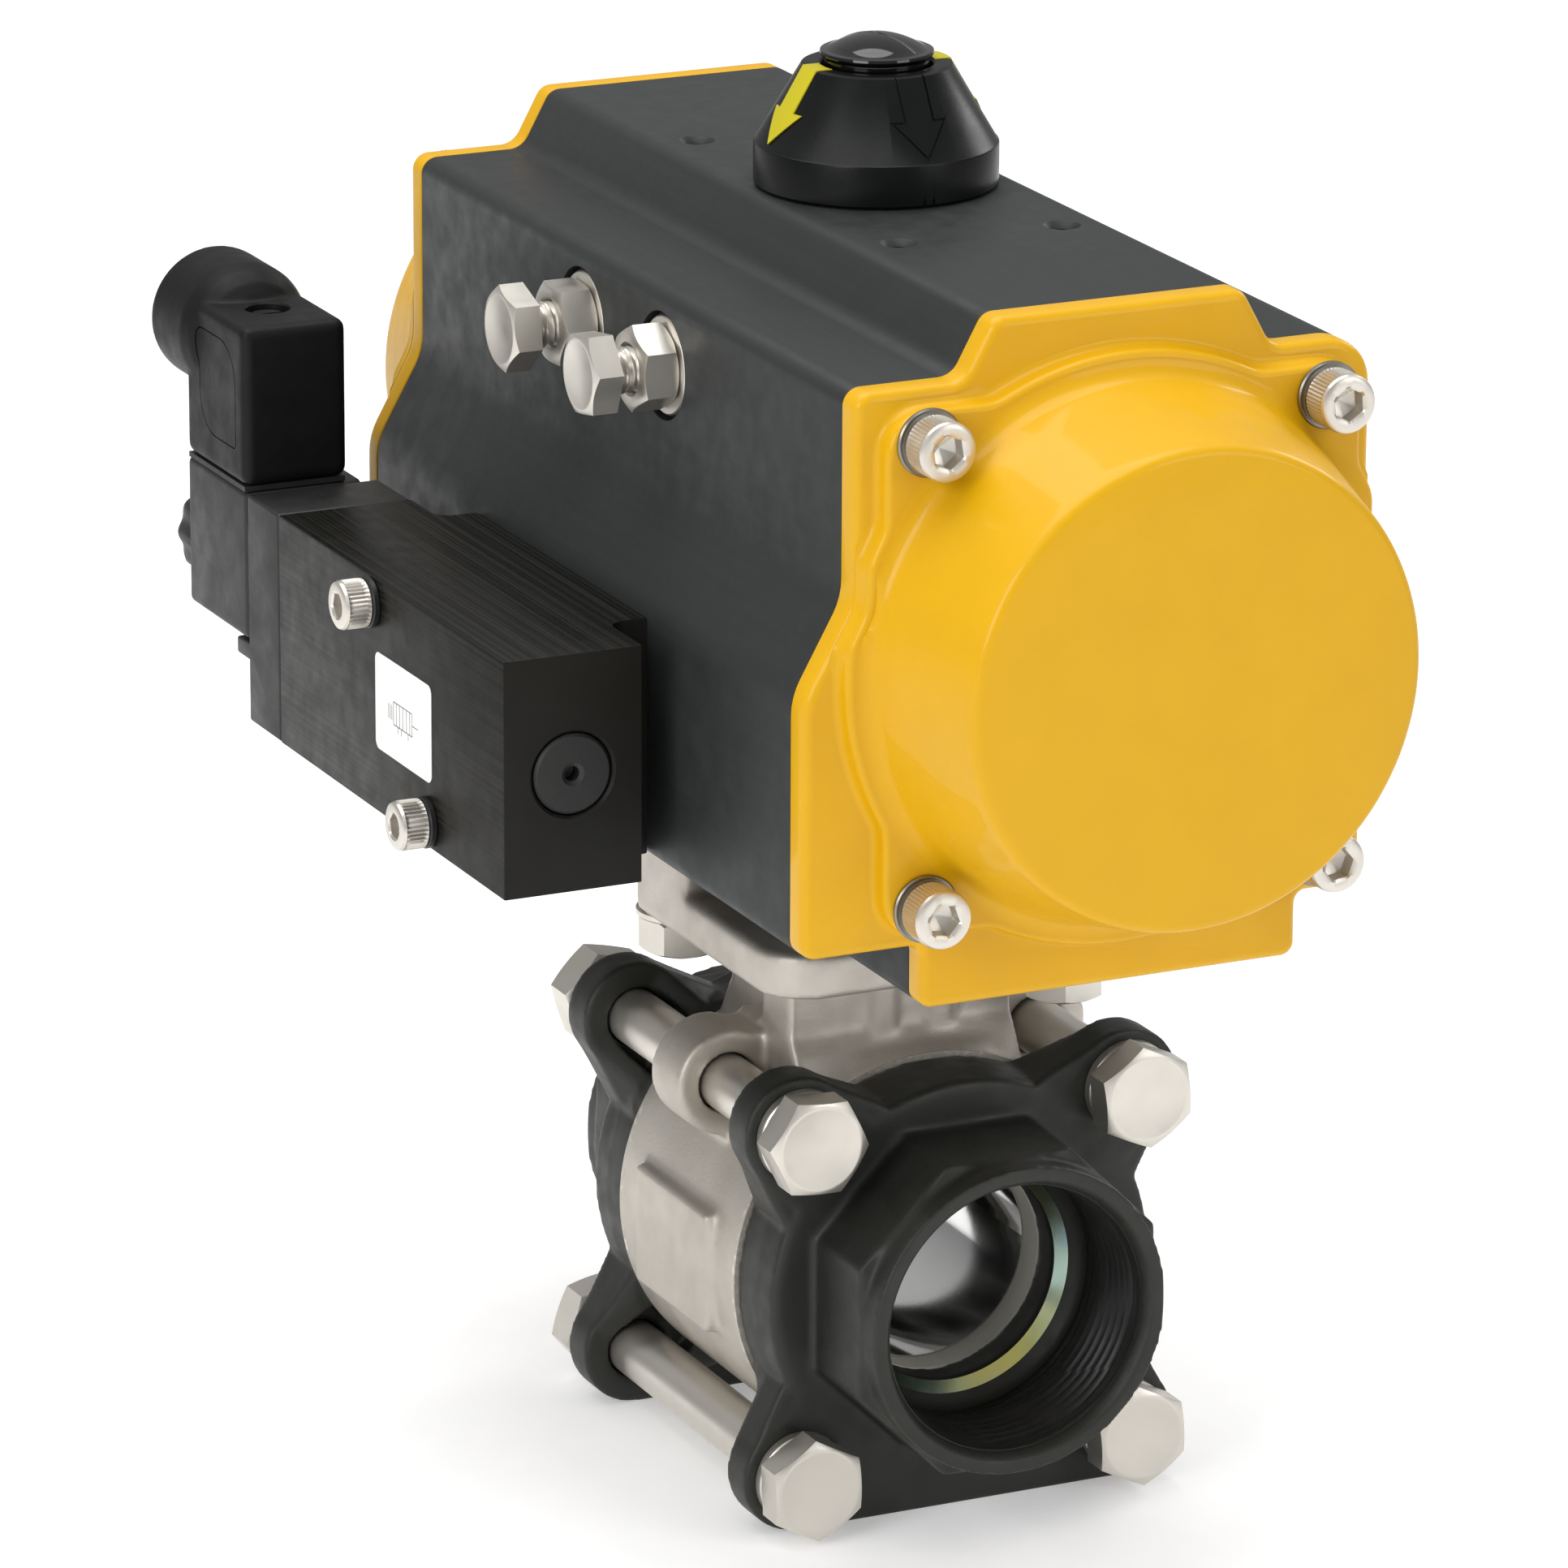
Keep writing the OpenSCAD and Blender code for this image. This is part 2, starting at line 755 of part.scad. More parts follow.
module coil_terminals() {
    color("#b98a4a") {
        for (y = [86, 90.5]) block([plug_x - 2.5, y, coil_top], [plug_x + 2.5, y + 0.8, plug_low + 9]);
        block([plug_x + 5, 86.5, coil_top], [plug_x + 5.8, 91, plug_low + 9]);
    }
}

module connector_gasket() {
    color("#3a3c3e") difference() {
        block([plug_x - 9.4, coil_front + 0.4, coil_top], [plug_x + 9.4, coil_back - 1.4, plug_low]);
        block([plug_x - 7, coil_front + 3, coil_top - 1], [plug_x + 7, coil_back - 4, plug_low + 1]);
    }
}

// Hollow right-angle plug with a conduit hub that points towards +Y
module connector_housing() {
    color("#1c1d1f") difference() {
        union() {
            block([plug_x - 9.75, 67.5, plug_low], [plug_x + 9.75, 95, plug_top]);
            along_y(hub_r, 87, hub_end, plug_x, hub_z);
            along_y(hub_r - 2, 85.2, 88, plug_x, hub_z);
        }
        block([plug_x - 7.5, 85, plug_low - 1], [plug_x + 7.5, 92.5, plug_top - 2]);
        along_y(9.3, 92, hub_end + 1, plug_x, hub_z);
        along_z(4, plug_top - 3, plug_top + 1, plug_x, plug_screw_y);
        along_z(1.6, plug_low - 1, plug_top, plug_x, plug_screw_y);
    }
}

module connector_screw() {
    color("#c9c6c0") translate([plug_x, plug_screw_y, plug_top - 3]) difference() {
        union() {
            cylinder(r = 2.8, h = 2);
            translate([0, 0, plug_low - plug_top + 3]) cylinder(r = 1.5, h = plug_top - plug_low - 2);
        }
        translate([-3, -0.4, 1]) cube([6, 0.8, 2]);
    }
}

// ---------- ball valve ----------

module ear(x, y0, y1) {
    along_y(ear_r, y0, y1, x, pipe_z + tie_half);
    block([min(x, 0), y0, pipe_z + tie_half - ear_r + 1], [max(x, 0), y1, pipe_z + tie_half + ear_r - 1]);
}

module pad_plate(low, high) {
    translate([0, 0, low]) linear_extrude(high - low) difference() {
        square(2 * pad_half, center = true);
        for (x = [-1, 1], y = [-1, 1]) translate([x * pad_half, y * pad_half]) difference() {
            square(20, center = true);
            translate([-10 * x, -10 * y]) circle(r = 10);
        }
    }
}

module valve_body() {
    color("#b9b4ab") difference() {
        union() {
            along_y(disc_r, -body_y, body_y, 0, pipe_z);
            pad_plate(pad_low, pad_top);
            intersection() {
                pad_plate(pad_top - 1, foot_z);
                both_ends() block([-40, 6, pad_top - 1], [-10, 40, foot_z]);
            }
            block([-neck_x, -neck_y, pipe_z + 24], [neck_x, neck_y, pad_low + 1]);
            both_ends() for (x = [-8.5, 2.5]) block([x, -neck_y - 1.2, pipe_z + 30], [x + 4.5, 0, pad_low + 1]);
            both_ends() ear(-tie_half, ear_y[0], ear_y[1]);
            block([-disc_r - 1.2, -15, pipe_z - 12], [-20, 15, pipe_z + 10]);
        }
        along_y(cavity_r, -body_y - 1, body_y + 1, 0, pipe_z);
        for (s = [-1, 1]) translate([0, s * body_y, pipe_z]) rotate([90, 0, 0])
            translate([0, 0, -1.2]) ring(34.2, cavity_r - 1, 2.4);
        for (x = [-tie_half, tie_half]) along_y(5.4, -40, 40, x, pipe_z + tie_half);
        along_z(12, pipe_z + 20, stem_shoulder + 3);
        along_z(stem_r + 0.06, pipe_z + 20, foot_z + 1);
        along_z(13, pad_low - 4, foot_z + 1);
        along_z(16, pad_top, foot_z + 1);
        at_studs() along_z(4.2, pad_low - 10, foot_z + 1);
        at_studs() along_z(9, pad_low - 13, pad_low);
    }
}

module end_outline() {
    circle(r = disc_r - 2, $fn = 96);
    for (a = [45, 135]) rotate(a) square([2 * tie_half * sqrt(2), 2 * lobe_r - 0.8], center = true);
    for (x = [-tie_half, tie_half], y = [-tie_half, tie_half]) translate([x, y]) circle(r = lobe_r);
    translate([-tie_half, -tie_half - lobe_r]) square([2 * tie_half, lobe_r * 2]);
}

module pipe_end() {
    difference() {
        union() {
            translate([0, -lobe_y, pipe_z]) rotate([90, 0, 0])
                linear_extrude(flange_y - lobe_y) end_outline();
            along_y(disc_r - 0.7, -lobe_y - 2, -body_y, 0, pipe_z);
            translate([0, -flange_y + 1, pipe_z]) rotate([90, 0, 0]) rotate([0, 0, 22.5])
                cylinder(d = nose_af / cos(22.5), h = mouth_y - flange_y - 4, $fn = 8);
            along_y(nose_af / 2 - 0.4, -mouth_y, -flange_y + 1, 0, pipe_z);
        }
        translate([0, 0, pipe_z]) rotate([90, 0, 0]) rotate_extrude($fn = 96)
            polygon([[0, body_y - 1], [27.6, body_y - 1], [27.6, body_y + 3], [port_r + 0.5, body_y + 3],
                [port_r + 0.5, mouth_y - 27], [mouth_d / 2 - 1, mouth_y - 24], [mouth_d / 2 - 0.2, mouth_y - 23],
                [mouth_d / 2 - 0.2, mouth_y - 2], [mouth_d / 2 + 1, mouth_y + 0.01],
                [mouth_d / 2 + 1, mouth_y + 1], [0, mouth_y + 1]]);
        at_tie_bolts() along_y(5.4, -mouth_y, 0);
    }
}

module front_pipe_end() {
    color("#2a2b2a") pipe_end();
}

module rear_pipe_end() {
    color("#2a2b2a") mirror([0, 1, 0]) pipe_end();
}

module body_seals() {
    color("#e6e2d4") both_ends() translate([0, -body_y + 1.2, pipe_z]) rotate([90, 0, 0])
        ring(34.2, cavity_r, 1.2);
}

module seat_rings() {
    color("#e6e2d4") both_ends() difference() {
        translate([0, 0, pipe_z]) rotate([90, 0, 0]) rotate_extrude($fn = 96)
            polygon([[port_r + 0.5, 18], [24, 17], [27.5, 19], [27.5, body_y + 3], [port_r + 0.5, body_y + 3]]);
        translate([0, 0, pipe_z]) sphere(r = ball_r + 0.04, $fn = 96);
    }
}

module ball() {
    color("#c4c4c0") difference() {
        translate([0, 0, pipe_z]) sphere(r = ball_r, $fn = 96);
        along_y(port_r, -ball_r - 1, ball_r + 1, 0, pipe_z);
        block([-14, -tang_half, pipe_z + ball_r - 7], [14, tang_half, pipe_z + ball_r + 1]);
    }
}

module valve_stem() {
    color("#b9b9b5") {
        intersection() {
            along_z(stem_r, pipe_z + ball_r - 7, stem_shoulder);
            block([-stem_r, -tang_half, pipe_z], [stem_r, tang_half, stem_shoulder]);
        }
        along_z(11.6, pipe_z + ball_r + 0.2, stem_shoulder);
        along_z(stem_r, stem_shoulder - 0.5, foot_z - 0.4);
        block([-square_af / 2, -square_af / 2, foot_z - 0.5], [square_af / 2, square_af / 2, socket_top - 1.5]);
    }
}

module stem_packing() {
    color("#e6e2d4") {
        translate([0, 0, stem_shoulder + 0.1]) ring(11.8, stem_r + 0.06, 2.8);
        for (k = [0 : 2]) translate([0, 0, pad_low - 4 + k * 3.2]) ring(13, stem_r + 0.06, 3.1);
    }
}

module gland_nut() {
    color("#c9c6c0") translate([0, 0, pad_top + 3.2]) difference() {
        union() {
            hex(24, 5.5);
            translate([0, 0, -5.6]) cylinder(r = 12.6, h = 6);
        }
        translate([0, 0, -6]) cylinder(r = stem_r, h = 12);
    }
}

module tie_bolts() {
    color("#c9c6c0") at_tie_bolts() {
        translate([0, -flange_y - tie_washer, 0]) rotate([90, 0, 0]) hex(16, 6.4);
        along_y(5, -flange_y - tie_washer - 1, flange_y + tie_washer + 8.6);
    }
}

module tie_bolt_nuts() {
    color("#c9c6c0") at_tie_bolts() {
        translate([0, flange_y, 0]) rotate([-90, 0, 0]) ring(8.2, 5, tie_washer);
        translate([0, flange_y + tie_washer, 0]) rotate([-90, 0, 0]) nut(16, 10, 8);
        translate([0, -flange_y, 0]) rotate([90, 0, 0]) ring(8.2, 5, tie_washer);
    }
}

module mounting_studs() {
    color("#c9c6c0") at_studs() along_z(4, stud_low, foot_z + 12);
}

module mounting_nuts() {
    color("#c9c6c0") at_studs() {
        translate([0, 0, pad_low - 1.4]) ring(8, 4, 1.4);
        translate([0, 0, pad_low - 7.9]) nut(13, 8, 6.5);
    }
}

// ---------- every node ----------

actuator_body();
front_end_cap();
rear_end_cap();
front_cap_seals();
rear_cap_seals();
end_cap_screws();
end_cap_washers();
travel_stop_bolts();
travel_stop_nuts();
travel_stop_washers();
upper_pinion_bearing();
lower_pinion_bearing();
thrust_washer();
pinion();
stop_cam();
retaining_ring();
pinion_seals();
position_indicator();
indicator_arrows();
indicator_screw();
indicator_dome();
front_piston();
front_piston_seal();
front_guide_band();
rear_piston();
rear_piston_seal();
rear_guide_band();
pilot_block();
interface_seals();
block_end_plug();
plug_seal();
block_screws();
block_lock_washers();
block_label();
spool();
spool_seals();
spool_spring();
pilot_adapter();
armature_tube();
plunger();
plunger_spring();
solenoid_coil();
coil_nut();
coil_terminals();
connector_gasket();
connector_housing();
connector_screw();
valve_body();
front_pipe_end();
rear_pipe_end();
body_seals();
seat_rings();
ball();
valve_stem();
stem_packing();
gland_nut();
tie_bolts();
tie_bolt_nuts();
mounting_studs();
mounting_nuts();
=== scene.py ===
"""Looks of a rack-and-pinion actuator bolted on a three-piece ball valve, with its pilot valve.

Lengths are millimetres, and Shape turns them into metres. The lights and the camera are placed in
metres, and noise scales are per metre.
"""

import json
import math
import random

import bmesh
import bpy
from mathutils import Matrix, Vector


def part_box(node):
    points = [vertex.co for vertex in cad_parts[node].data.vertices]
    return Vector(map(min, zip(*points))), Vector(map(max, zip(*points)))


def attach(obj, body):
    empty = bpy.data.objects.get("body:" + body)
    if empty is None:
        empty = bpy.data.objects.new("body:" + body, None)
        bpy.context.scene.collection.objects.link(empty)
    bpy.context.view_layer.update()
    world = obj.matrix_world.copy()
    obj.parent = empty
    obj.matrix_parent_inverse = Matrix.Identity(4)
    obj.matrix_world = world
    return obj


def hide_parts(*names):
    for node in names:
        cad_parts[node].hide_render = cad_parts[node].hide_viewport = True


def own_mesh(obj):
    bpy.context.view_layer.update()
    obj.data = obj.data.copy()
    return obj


MM = 0.001
TAU = 2 * math.pi

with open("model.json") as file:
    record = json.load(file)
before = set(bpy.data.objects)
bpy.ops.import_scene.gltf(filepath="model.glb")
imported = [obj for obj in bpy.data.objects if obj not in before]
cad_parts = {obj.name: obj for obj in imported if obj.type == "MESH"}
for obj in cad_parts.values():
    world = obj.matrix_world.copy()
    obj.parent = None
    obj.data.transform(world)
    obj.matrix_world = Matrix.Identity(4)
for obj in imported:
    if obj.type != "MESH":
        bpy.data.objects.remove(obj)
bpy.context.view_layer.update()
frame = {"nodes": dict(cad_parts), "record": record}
random.seed(7)


def box(node):
    """Lowest and highest corner of a CAD node in millimetres."""
    low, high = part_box(node)
    return low / MM, high / MM


# ---------- places ----------

# Actuator. SHOULDER, SKIRT, SCREW_X and SCREW_Z are distances from the cylinder's axis.
BODY_LOW, BODY_HIGH = box("actuator_body")
TOP_Z, FOOT_Z = BODY_HIGH.z, BODY_LOW.z
HALF_LEN = BODY_HIGH.y
HALF_HEIGHT, SHOULDER, SKIRT = 57.0, 47.0, 34.5
CYL_Z, BORE_R = TOP_Z - HALF_HEIGHT, 40.0
LEFT_X, RIGHT_X = 47.2, BODY_HIGH.x
FACE_X = -BODY_LOW.x
CAP_DISC_Y = -box("front_end_cap")[0].y
PLATEAU = 8.7
SEAT_Y = HALF_LEN + PLATEAU
SCREW_X, SCREW_Z = 36.0, 39.0
STOP_Y, STOP_Z = 16.5, CYL_Z + 34
STUD_PLACES = ((-24.75, 24.75), (24.75, -24.75))
NECK_Z = TOP_Z + 20.8

# Pilot valve.
BLOCK_LOW, BLOCK_HIGH = box("pilot_block")
BLOCK_Z = (BLOCK_LOW.z + BLOCK_HIGH.z) / 2
BLOCK_FACE_X = -88
BLOCK_SCREW_PLACES = ((12, 16), (-12, -16))
PORT_PLACES = (-22, 1, 24)
SPOOL_X, SPOOL_Z = -75.6, BLOCK_Z - 0.2
COIL_LOW, COIL_HIGH = box("solenoid_coil")
COIL_X, COIL_Z = -77.0, BLOCK_Z + 4.4
PLUG_LOW, PLUG_HIGH = box("connector_housing")
PLUG_X, HUB_Z, PLUG_SCREW_Y = -78.75, PLUG_HIGH.z - 12, 80.3

# Ball valve. TIE is how far the tie bolts are from the pipe's axis in x and in z.
PIPE_Z, TIE, FLANGE_Y = 41.0, 31.0, 37.5
MOUTH_Y = box("rear_pipe_end")[1].y
PIPE_THREAD_R, PIPE_PITCH = 23.8, 2.209
RIM_R, RIM_Y = 36.7, 23.7

# Screw radius, pitch and width across the flats of the hexagon.
M6_R = 3.0
M8_R, M8_PITCH, M8_FLATS = 4.0, 1.25, 13
M10_R, M10_PITCH, M10_FLATS = 5.0, 1.5, 16
HEX_POINTS = 72


# ---------- mesh building ----------


class Shape:
    """Points and faces gathered piece by piece, in millimetres."""

    def __init__(self):
        self.points = []
        self.faces = []

    def rings(self, rings, where=None, loop=False):
        """Joins rings of equal counts with quads. Loop joins the last ring to the first one."""
        count = len(rings[0])
        base = len(self.points)
        for ring in rings:
            for point in ring:
                point = Vector(point)
                self.points.append(point if where is None else where @ point)
        spans = len(rings) if loop else len(rings) - 1
        for k in range(spans):
            a = base + k * count
            b = base + ((k + 1) % len(rings)) * count
            for i in range(count):
                j = (i + 1) % count
                self.faces.append((a + i, a + j, b + j, b + i))
        if not loop:
            last = base + (len(rings) - 1) * count
            self.faces.append(tuple(base + i for i in reversed(range(count))))
            self.faces.append(tuple(last + i for i in range(count)))
        return self

    def lathe(self, profile, where=None, count=64, loop=False):
        """Turns (radius, height) points about the local Z axis."""
        return self.rings([circle(r, h, count) for r, h in profile], where, loop)

    def build(self, name):
        """A mesh object with outward normals, in metres."""
        mesh = bpy.data.meshes.new(name)
        mesh.from_pydata([p * MM for p in self.points], [], self.faces)
        piece = linked(name, mesh)
        return edit(piece, lambda bm: bmesh.ops.recalc_face_normals(bm, faces=bm.faces))


def turned(name, profile, where, count, loop=False):
    return Shape().lathe(profile, where, count, loop).build(name)


def linked(name, data):
    """A new object in the scene."""
    item = bpy.data.objects.new(name, data)
    bpy.context.scene.collection.objects.link(item)
    return item


def edit(piece, change):
    """Runs one change on a piece's mesh."""
    bm = bmesh.new()
    bm.from_mesh(piece.data)
    change(bm)
    bm.to_mesh(piece.data)
    bm.free()
    return piece


def polar(r, angle, h):
    return (r * math.cos(angle), r * math.sin(angle), h)


def angles(count):
    return [TAU * i / count for i in range(count)]


def circle(r, h, count):
    return [polar(r, a, h) for a in angles(count)]


def place(at, direction=(0, 0, 1), spin=0.0):
    """Turns local +Z to a direction and moves the origin to a point."""
    turn = Vector((0, 0, 1)).rotation_difference(Vector(direction)).to_matrix().to_4x4()
    return Matrix.Translation(Vector(at)) @ turn @ Matrix.Rotation(math.radians(spin), 4, "Z")


def rounded(corners, step=12.0):
    """An outline from (x, y, radius) corners, with arcs in place of the corners."""
    path = []
    count = len(corners)
    for i, (x, y, r) in enumerate(corners):
        here = Vector((x, y))
        to_last = (Vector(corners[i - 1][:2]) - here).normalized()
        to_next = (Vector(corners[(i + 1) % count][:2]) - here).normalized()
        if r <= 0:
            path.append(here)
            continue
        half = to_last.angle(to_next) / 2
        centre = here + (to_last + to_next).normalized() * (r / math.sin(half))
        start = here + to_last * (r / math.tan(half)) - centre
        end = here + to_next * (r / math.tan(half)) - centre
        sweep = start.angle_signed(end)
        parts = max(2, math.ceil(abs(math.degrees(sweep)) / step))
        for k in range(parts + 1):
            path.append(centre + Matrix.Rotation(-sweep * k / parts, 2) @ start)
    return path


def inset(outline, distance):
    """An anticlockwise outline moved inwards along its own normals."""
    moved = []
    for i, here in enumerate(outline):
        before = (here - outline[i - 1]).normalized()
        after = (outline[(i + 1) % len(outline)] - here).normalized()
        normal = Vector((-before.y, before.x)) + Vector((-after.y, after.x))
        normal.normalize()
        reach = max(0.5, normal.dot(Vector((-after.y, after.x))))
        moved.append(here + normal * (distance / reach))
    return moved


def slab(shape, outline, low, high, round_low, round_high, where, steps=5):
    """A plate with an outline and rounded rims. where(x, y, height) places a point."""
    turns = [math.pi / 2 * k / steps for k in range(steps + 1)]
    arcs = [(1 - math.sin(turn), 1 - math.cos(turn)) for turn in turns]
    levels = [(round_low * a, low + round_low * b) for a, b in arcs]
    levels += [(round_high * b, high - round_high * a) for a, b in arcs]
    rings = [[where(p.x, p.y, h) for p in inset(outline, d)] for d, h in levels]
    return shape.rings(rings)


def rounded_box(name, low, high, radius, segments):
    """A closed box with all its edges rounded."""
    size = Vector(high) - Vector(low)
    middle = (Vector(high) + Vector(low)) / 2

    def make(bm):
        bmesh.ops.create_cube(bm, size=1)
        bmesh.ops.scale(bm, vec=size * MM, verts=bm.verts)
        bmesh.ops.translate(bm, vec=middle * MM, verts=bm.verts)
        edges = {"geom": bm.edges[:], "affect": "EDGES"}
        bmesh.ops.bevel(bm, offset=radius * MM, segments=segments, profile=0.5, **edges)

    return edit(linked(name, bpy.data.meshes.new(name)), make)


def settle(piece):
    """Applies a piece's modifiers."""
    graph = bpy.context.evaluated_depsgraph_get()
    mesh = bpy.data.meshes.new_from_object(piece.evaluated_get(graph))
    piece.modifiers.clear()
    piece.data = mesh


def combine(piece, other, operation, keep=False):
    """A solid union or difference. The other piece is used up unless it is kept."""
    change = piece.modifiers.new("combine", "BOOLEAN")
    change.operation = operation
    change.object = other
    change.solver = "MANIFOLD"
    settle(piece)
    if not keep:
        bpy.data.objects.remove(other)


def join(piece, other):
    combine(piece, other, "UNION")


def cut(piece, other):
    combine(piece, other, "DIFFERENCE")


def cast(piece, grain, rounds):
    """Voxel remesh and smoothing, which gives a casting's soft edges and filleted corners."""
    remesh = piece.modifiers.new("cast", "REMESH")
    remesh.mode = "VOXEL"
    remesh.voxel_size = grain * MM
    smooth = piece.modifiers.new("soften", "SMOOTH")
    smooth.factor = 0.5
    smooth.iterations = rounds
    settle(piece)


def cad_copy(node, name):
    """A copy of a CAD node's mesh as a piece of its own, with its points joined."""
    piece = linked(name, frame["nodes"][node].data.copy())
    return edit(piece, lambda bm: bmesh.ops.remove_doubles(bm, verts=bm.verts, dist=1e-6))


def shown(piece, slot, material, *nodes, body="housing", sharp=32):
    """Shades a piece, gives it its material and its body, and lets it stand for CAD nodes."""
    piece.data.materials.clear()
    piece.data.materials.append(material)
    for face in piece.data.polygons:
        face.use_smooth = True
    piece.data.set_sharp_from_angle(angle=math.radians(sharp))
    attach(piece, body)
    if nodes:
        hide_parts(*nodes)
    return piece


# ---------- materials ----------


def rgb(r, g, b):
    """Screen colour from 0 to 255 as linear light."""
    linear = []
    for c in (r / 255, g / 255, b / 255):
        linear.append(c / 12.92 if c <= 0.04045 else ((c + 0.055) / 1.055) ** 2.4)
    return (*linear, 1.0)


class Finish:
    """A procedural material: colour, roughness and bump from layered noise, and wear on edges."""

    DARKER = 0.9
    UNEVEN = 0.15

    def __init__(self, name, colour, rough, metal=0.0, coat=0.0, coat_rough=0.1, specular=0.5):
        self.material = bpy.data.materials.new(name)
        self.material.use_nodes = True
        self.tree = self.material.node_tree
        self.shader = self.tree.nodes["Principled BSDF"]
        self.set(self.shader, "Metallic", metal)
        self.set(self.shader, "Coat Weight", coat)
        self.set(self.shader, "Coat Roughness", coat_rough)
        self.set(self.shader, "Specular IOR Level", specular)
        source = self.node("ShaderNodeTexCoord")
        self.coords = source.outputs["Object"]
        self.facing = source.outputs["Normal"]
        patch = (*(c * self.DARKER for c in colour[:3]), 1.0)
        self.colour = self.mix_colour(colour, patch, self.noise(90, 4))
        low, high = rough * (1 - self.UNEVEN), rough * (1 + self.UNEVEN)
        self.rough = self.range(self.noise(220, 5), low, high)
        self.height = None

    def node(self, kind, **inputs):
        """A new node with its inputs set. An underscore stands for a space in an input's name."""
        node = self.tree.nodes.new(kind)
        for socket, value in inputs.items():
            self.set(node, socket.replace("_", " "), value)
        return node

    def set(self, node, socket, value):
        """Gives a socket a fixed value, or links another node's output to it."""
        if isinstance(value, bpy.types.NodeSocket):
            self.tree.links.new(value, node.inputs[socket])
        else:
            node.inputs[socket].default_value = value

    def noise(self, scale, detail, stretch=None):
        """Layered noise, which may be stretched along the axes."""
        where = self.coords
        if stretch:
            where = self.node("ShaderNodeMapping", Scale=stretch, Vector=where).outputs["Vector"]
        texture = self.node("ShaderNodeTexNoise", Scale=scale, Detail=detail, Vector=where)
        return texture.outputs["Fac"]

    def range(self, source, low, high, start=0.3, end=0.7):
        spans = {"From_Min": start, "From_Max": end, "To_Min": low, "To_Max": high}
        return self.node("ShaderNodeMapRange", Value=source, **spans).outputs["Result"]

    def mix_colour(self, first, second, amount):
        mixed = self.node("ShaderNodeMix")
        mixed.data_type = "RGBA"
        for socket, value in ((6, first), (7, second), (0, amount)):
            self.set(mixed, socket, value)
        return mixed.outputs[2]

    def maths(self, operation, first, second):
        node = self.node("ShaderNodeMath")
        node.operation = operation
        self.set(node, 0, first)
        self.set(node, 1, second)
        return node.outputs[0]

    def bump(self, scale, strength, detail=3, stretch=None):
        """Adds one layer of surface relief, strength in hundredths of a millimetre."""
        layer = self.maths("MULTIPLY", self.noise(scale, detail, stretch), strength)
        self.height = layer if self.height is None else self.maths("ADD", self.height, layer)
        return self

    def streaks(self, stretch, colour, amount, rough=None):
        """Fine drawn or ground lines along Y. A face square to Y has one tone and no lines."""
        split = self.node("ShaderNodeSeparateXYZ", Vector=self.facing)
        square = self.maths("ABSOLUTE", split.outputs["Y"], 0)
        lines = self.range(self.noise(900, 3, stretch), 0, amount, 0.42, 0.62)
        lines = self.maths("MULTIPLY", lines, self.maths("SUBTRACT", 1.0, square))
        lines = self.maths("ADD", lines, self.maths("MULTIPLY", square, amount * 0.55))
        self.colour = self.mix_colour(self.colour, colour, lines)
        if rough is not None:
            self.rough = self.maths("ADD", self.rough, self.maths("MULTIPLY", lines, rough))
        return self

    def wear(self, colour, start, amount, rough):
        """Rubbed edges: bare colour where the surface is sharply convex, broken up by noise."""
        geometry = self.node("ShaderNodeNewGeometry")
        edge = self.range(geometry.outputs["Pointiness"], 0, 1, start, start + 0.06)
        broken = self.range(self.noise(700, 6), 0, 1, 0.5, 0.62)
        mask = self.maths("MULTIPLY", self.maths("MULTIPLY", edge, broken), amount)
        self.colour = self.mix_colour(self.colour, colour, mask)
        away = self.maths("SUBTRACT", self.rough, rough)
        self.rough = self.maths("SUBTRACT", self.rough, self.maths("MULTIPLY", mask, away))
        return self

    def done(self):
        self.set(self.shader, "Base Color", self.colour)
        self.set(self.shader, "Roughness", self.rough)
        if self.height is not None:
            bump = self.node("ShaderNodeBump", Strength=1.0, Distance=0.01 * MM, Height=self.height)
            self.set(self.shader, "Normal", bump.outputs["Normal"])
        return self.material


def anodised_body():
    finish = Finish("anodised_body", rgb(44, 46, 46), 0.5, metal=0.15, specular=0.32)
    finish.streaks((1, 0.02, 1), rgb(52, 54, 54), 0.2)
    finish.bump(2600, 1.6).bump(60, 1.0, stretch=(1, 0.05, 1))
    return finish.done()


def anodised_block():
    finish = Finish("anodised_block", rgb(13, 13, 11), 0.4, specular=0.13)
    finish.streaks((2.2, 0.008, 2.2), rgb(38, 37, 33), 0.8, 0.1)
    finish.bump(2700, 0.5, stretch=(1, 0.01, 1))
    return finish.done()


def yellow_paint():
    colour = rgb(213, 162, 3)
    finish = Finish("yellow_paint", colour, 0.45, coat=0.2, coat_rough=0.07, specular=0.2)
    finish.bump(420, 2.0, 2).bump(2200, 0.5)
    return finish.done()


def stainless():
    finish = Finish("stainless_fastener", rgb(214, 209, 200), 0.38, metal=0.9)
    return finish.bump(1900, 0.4).bump(6000, 0.2).done()


def cast_stainless():
    finish = Finish("cast_stainless", rgb(198, 192, 183), 0.5, metal=0.7)
    stain = finish.range(finish.noise(45, 5), 0, 0.35)
    finish.colour = finish.mix_colour(finish.colour, rgb(140, 132, 120), stain)
    finish.bump(1500, 5.0, 4).bump(300, 3.0)
    return finish.wear(rgb(228, 224, 216), 0.54, 0.5, 0.28).done()


def black_phosphate():
    finish = Finish("black_phosphate", rgb(38, 39, 35), 0.5, metal=0.2, specular=0.45)
    finish.bump(1900, 2.2, 3).bump(260, 1.6)
    return finish.wear(rgb(190, 188, 180), 0.58, 0.9, 0.3).done()


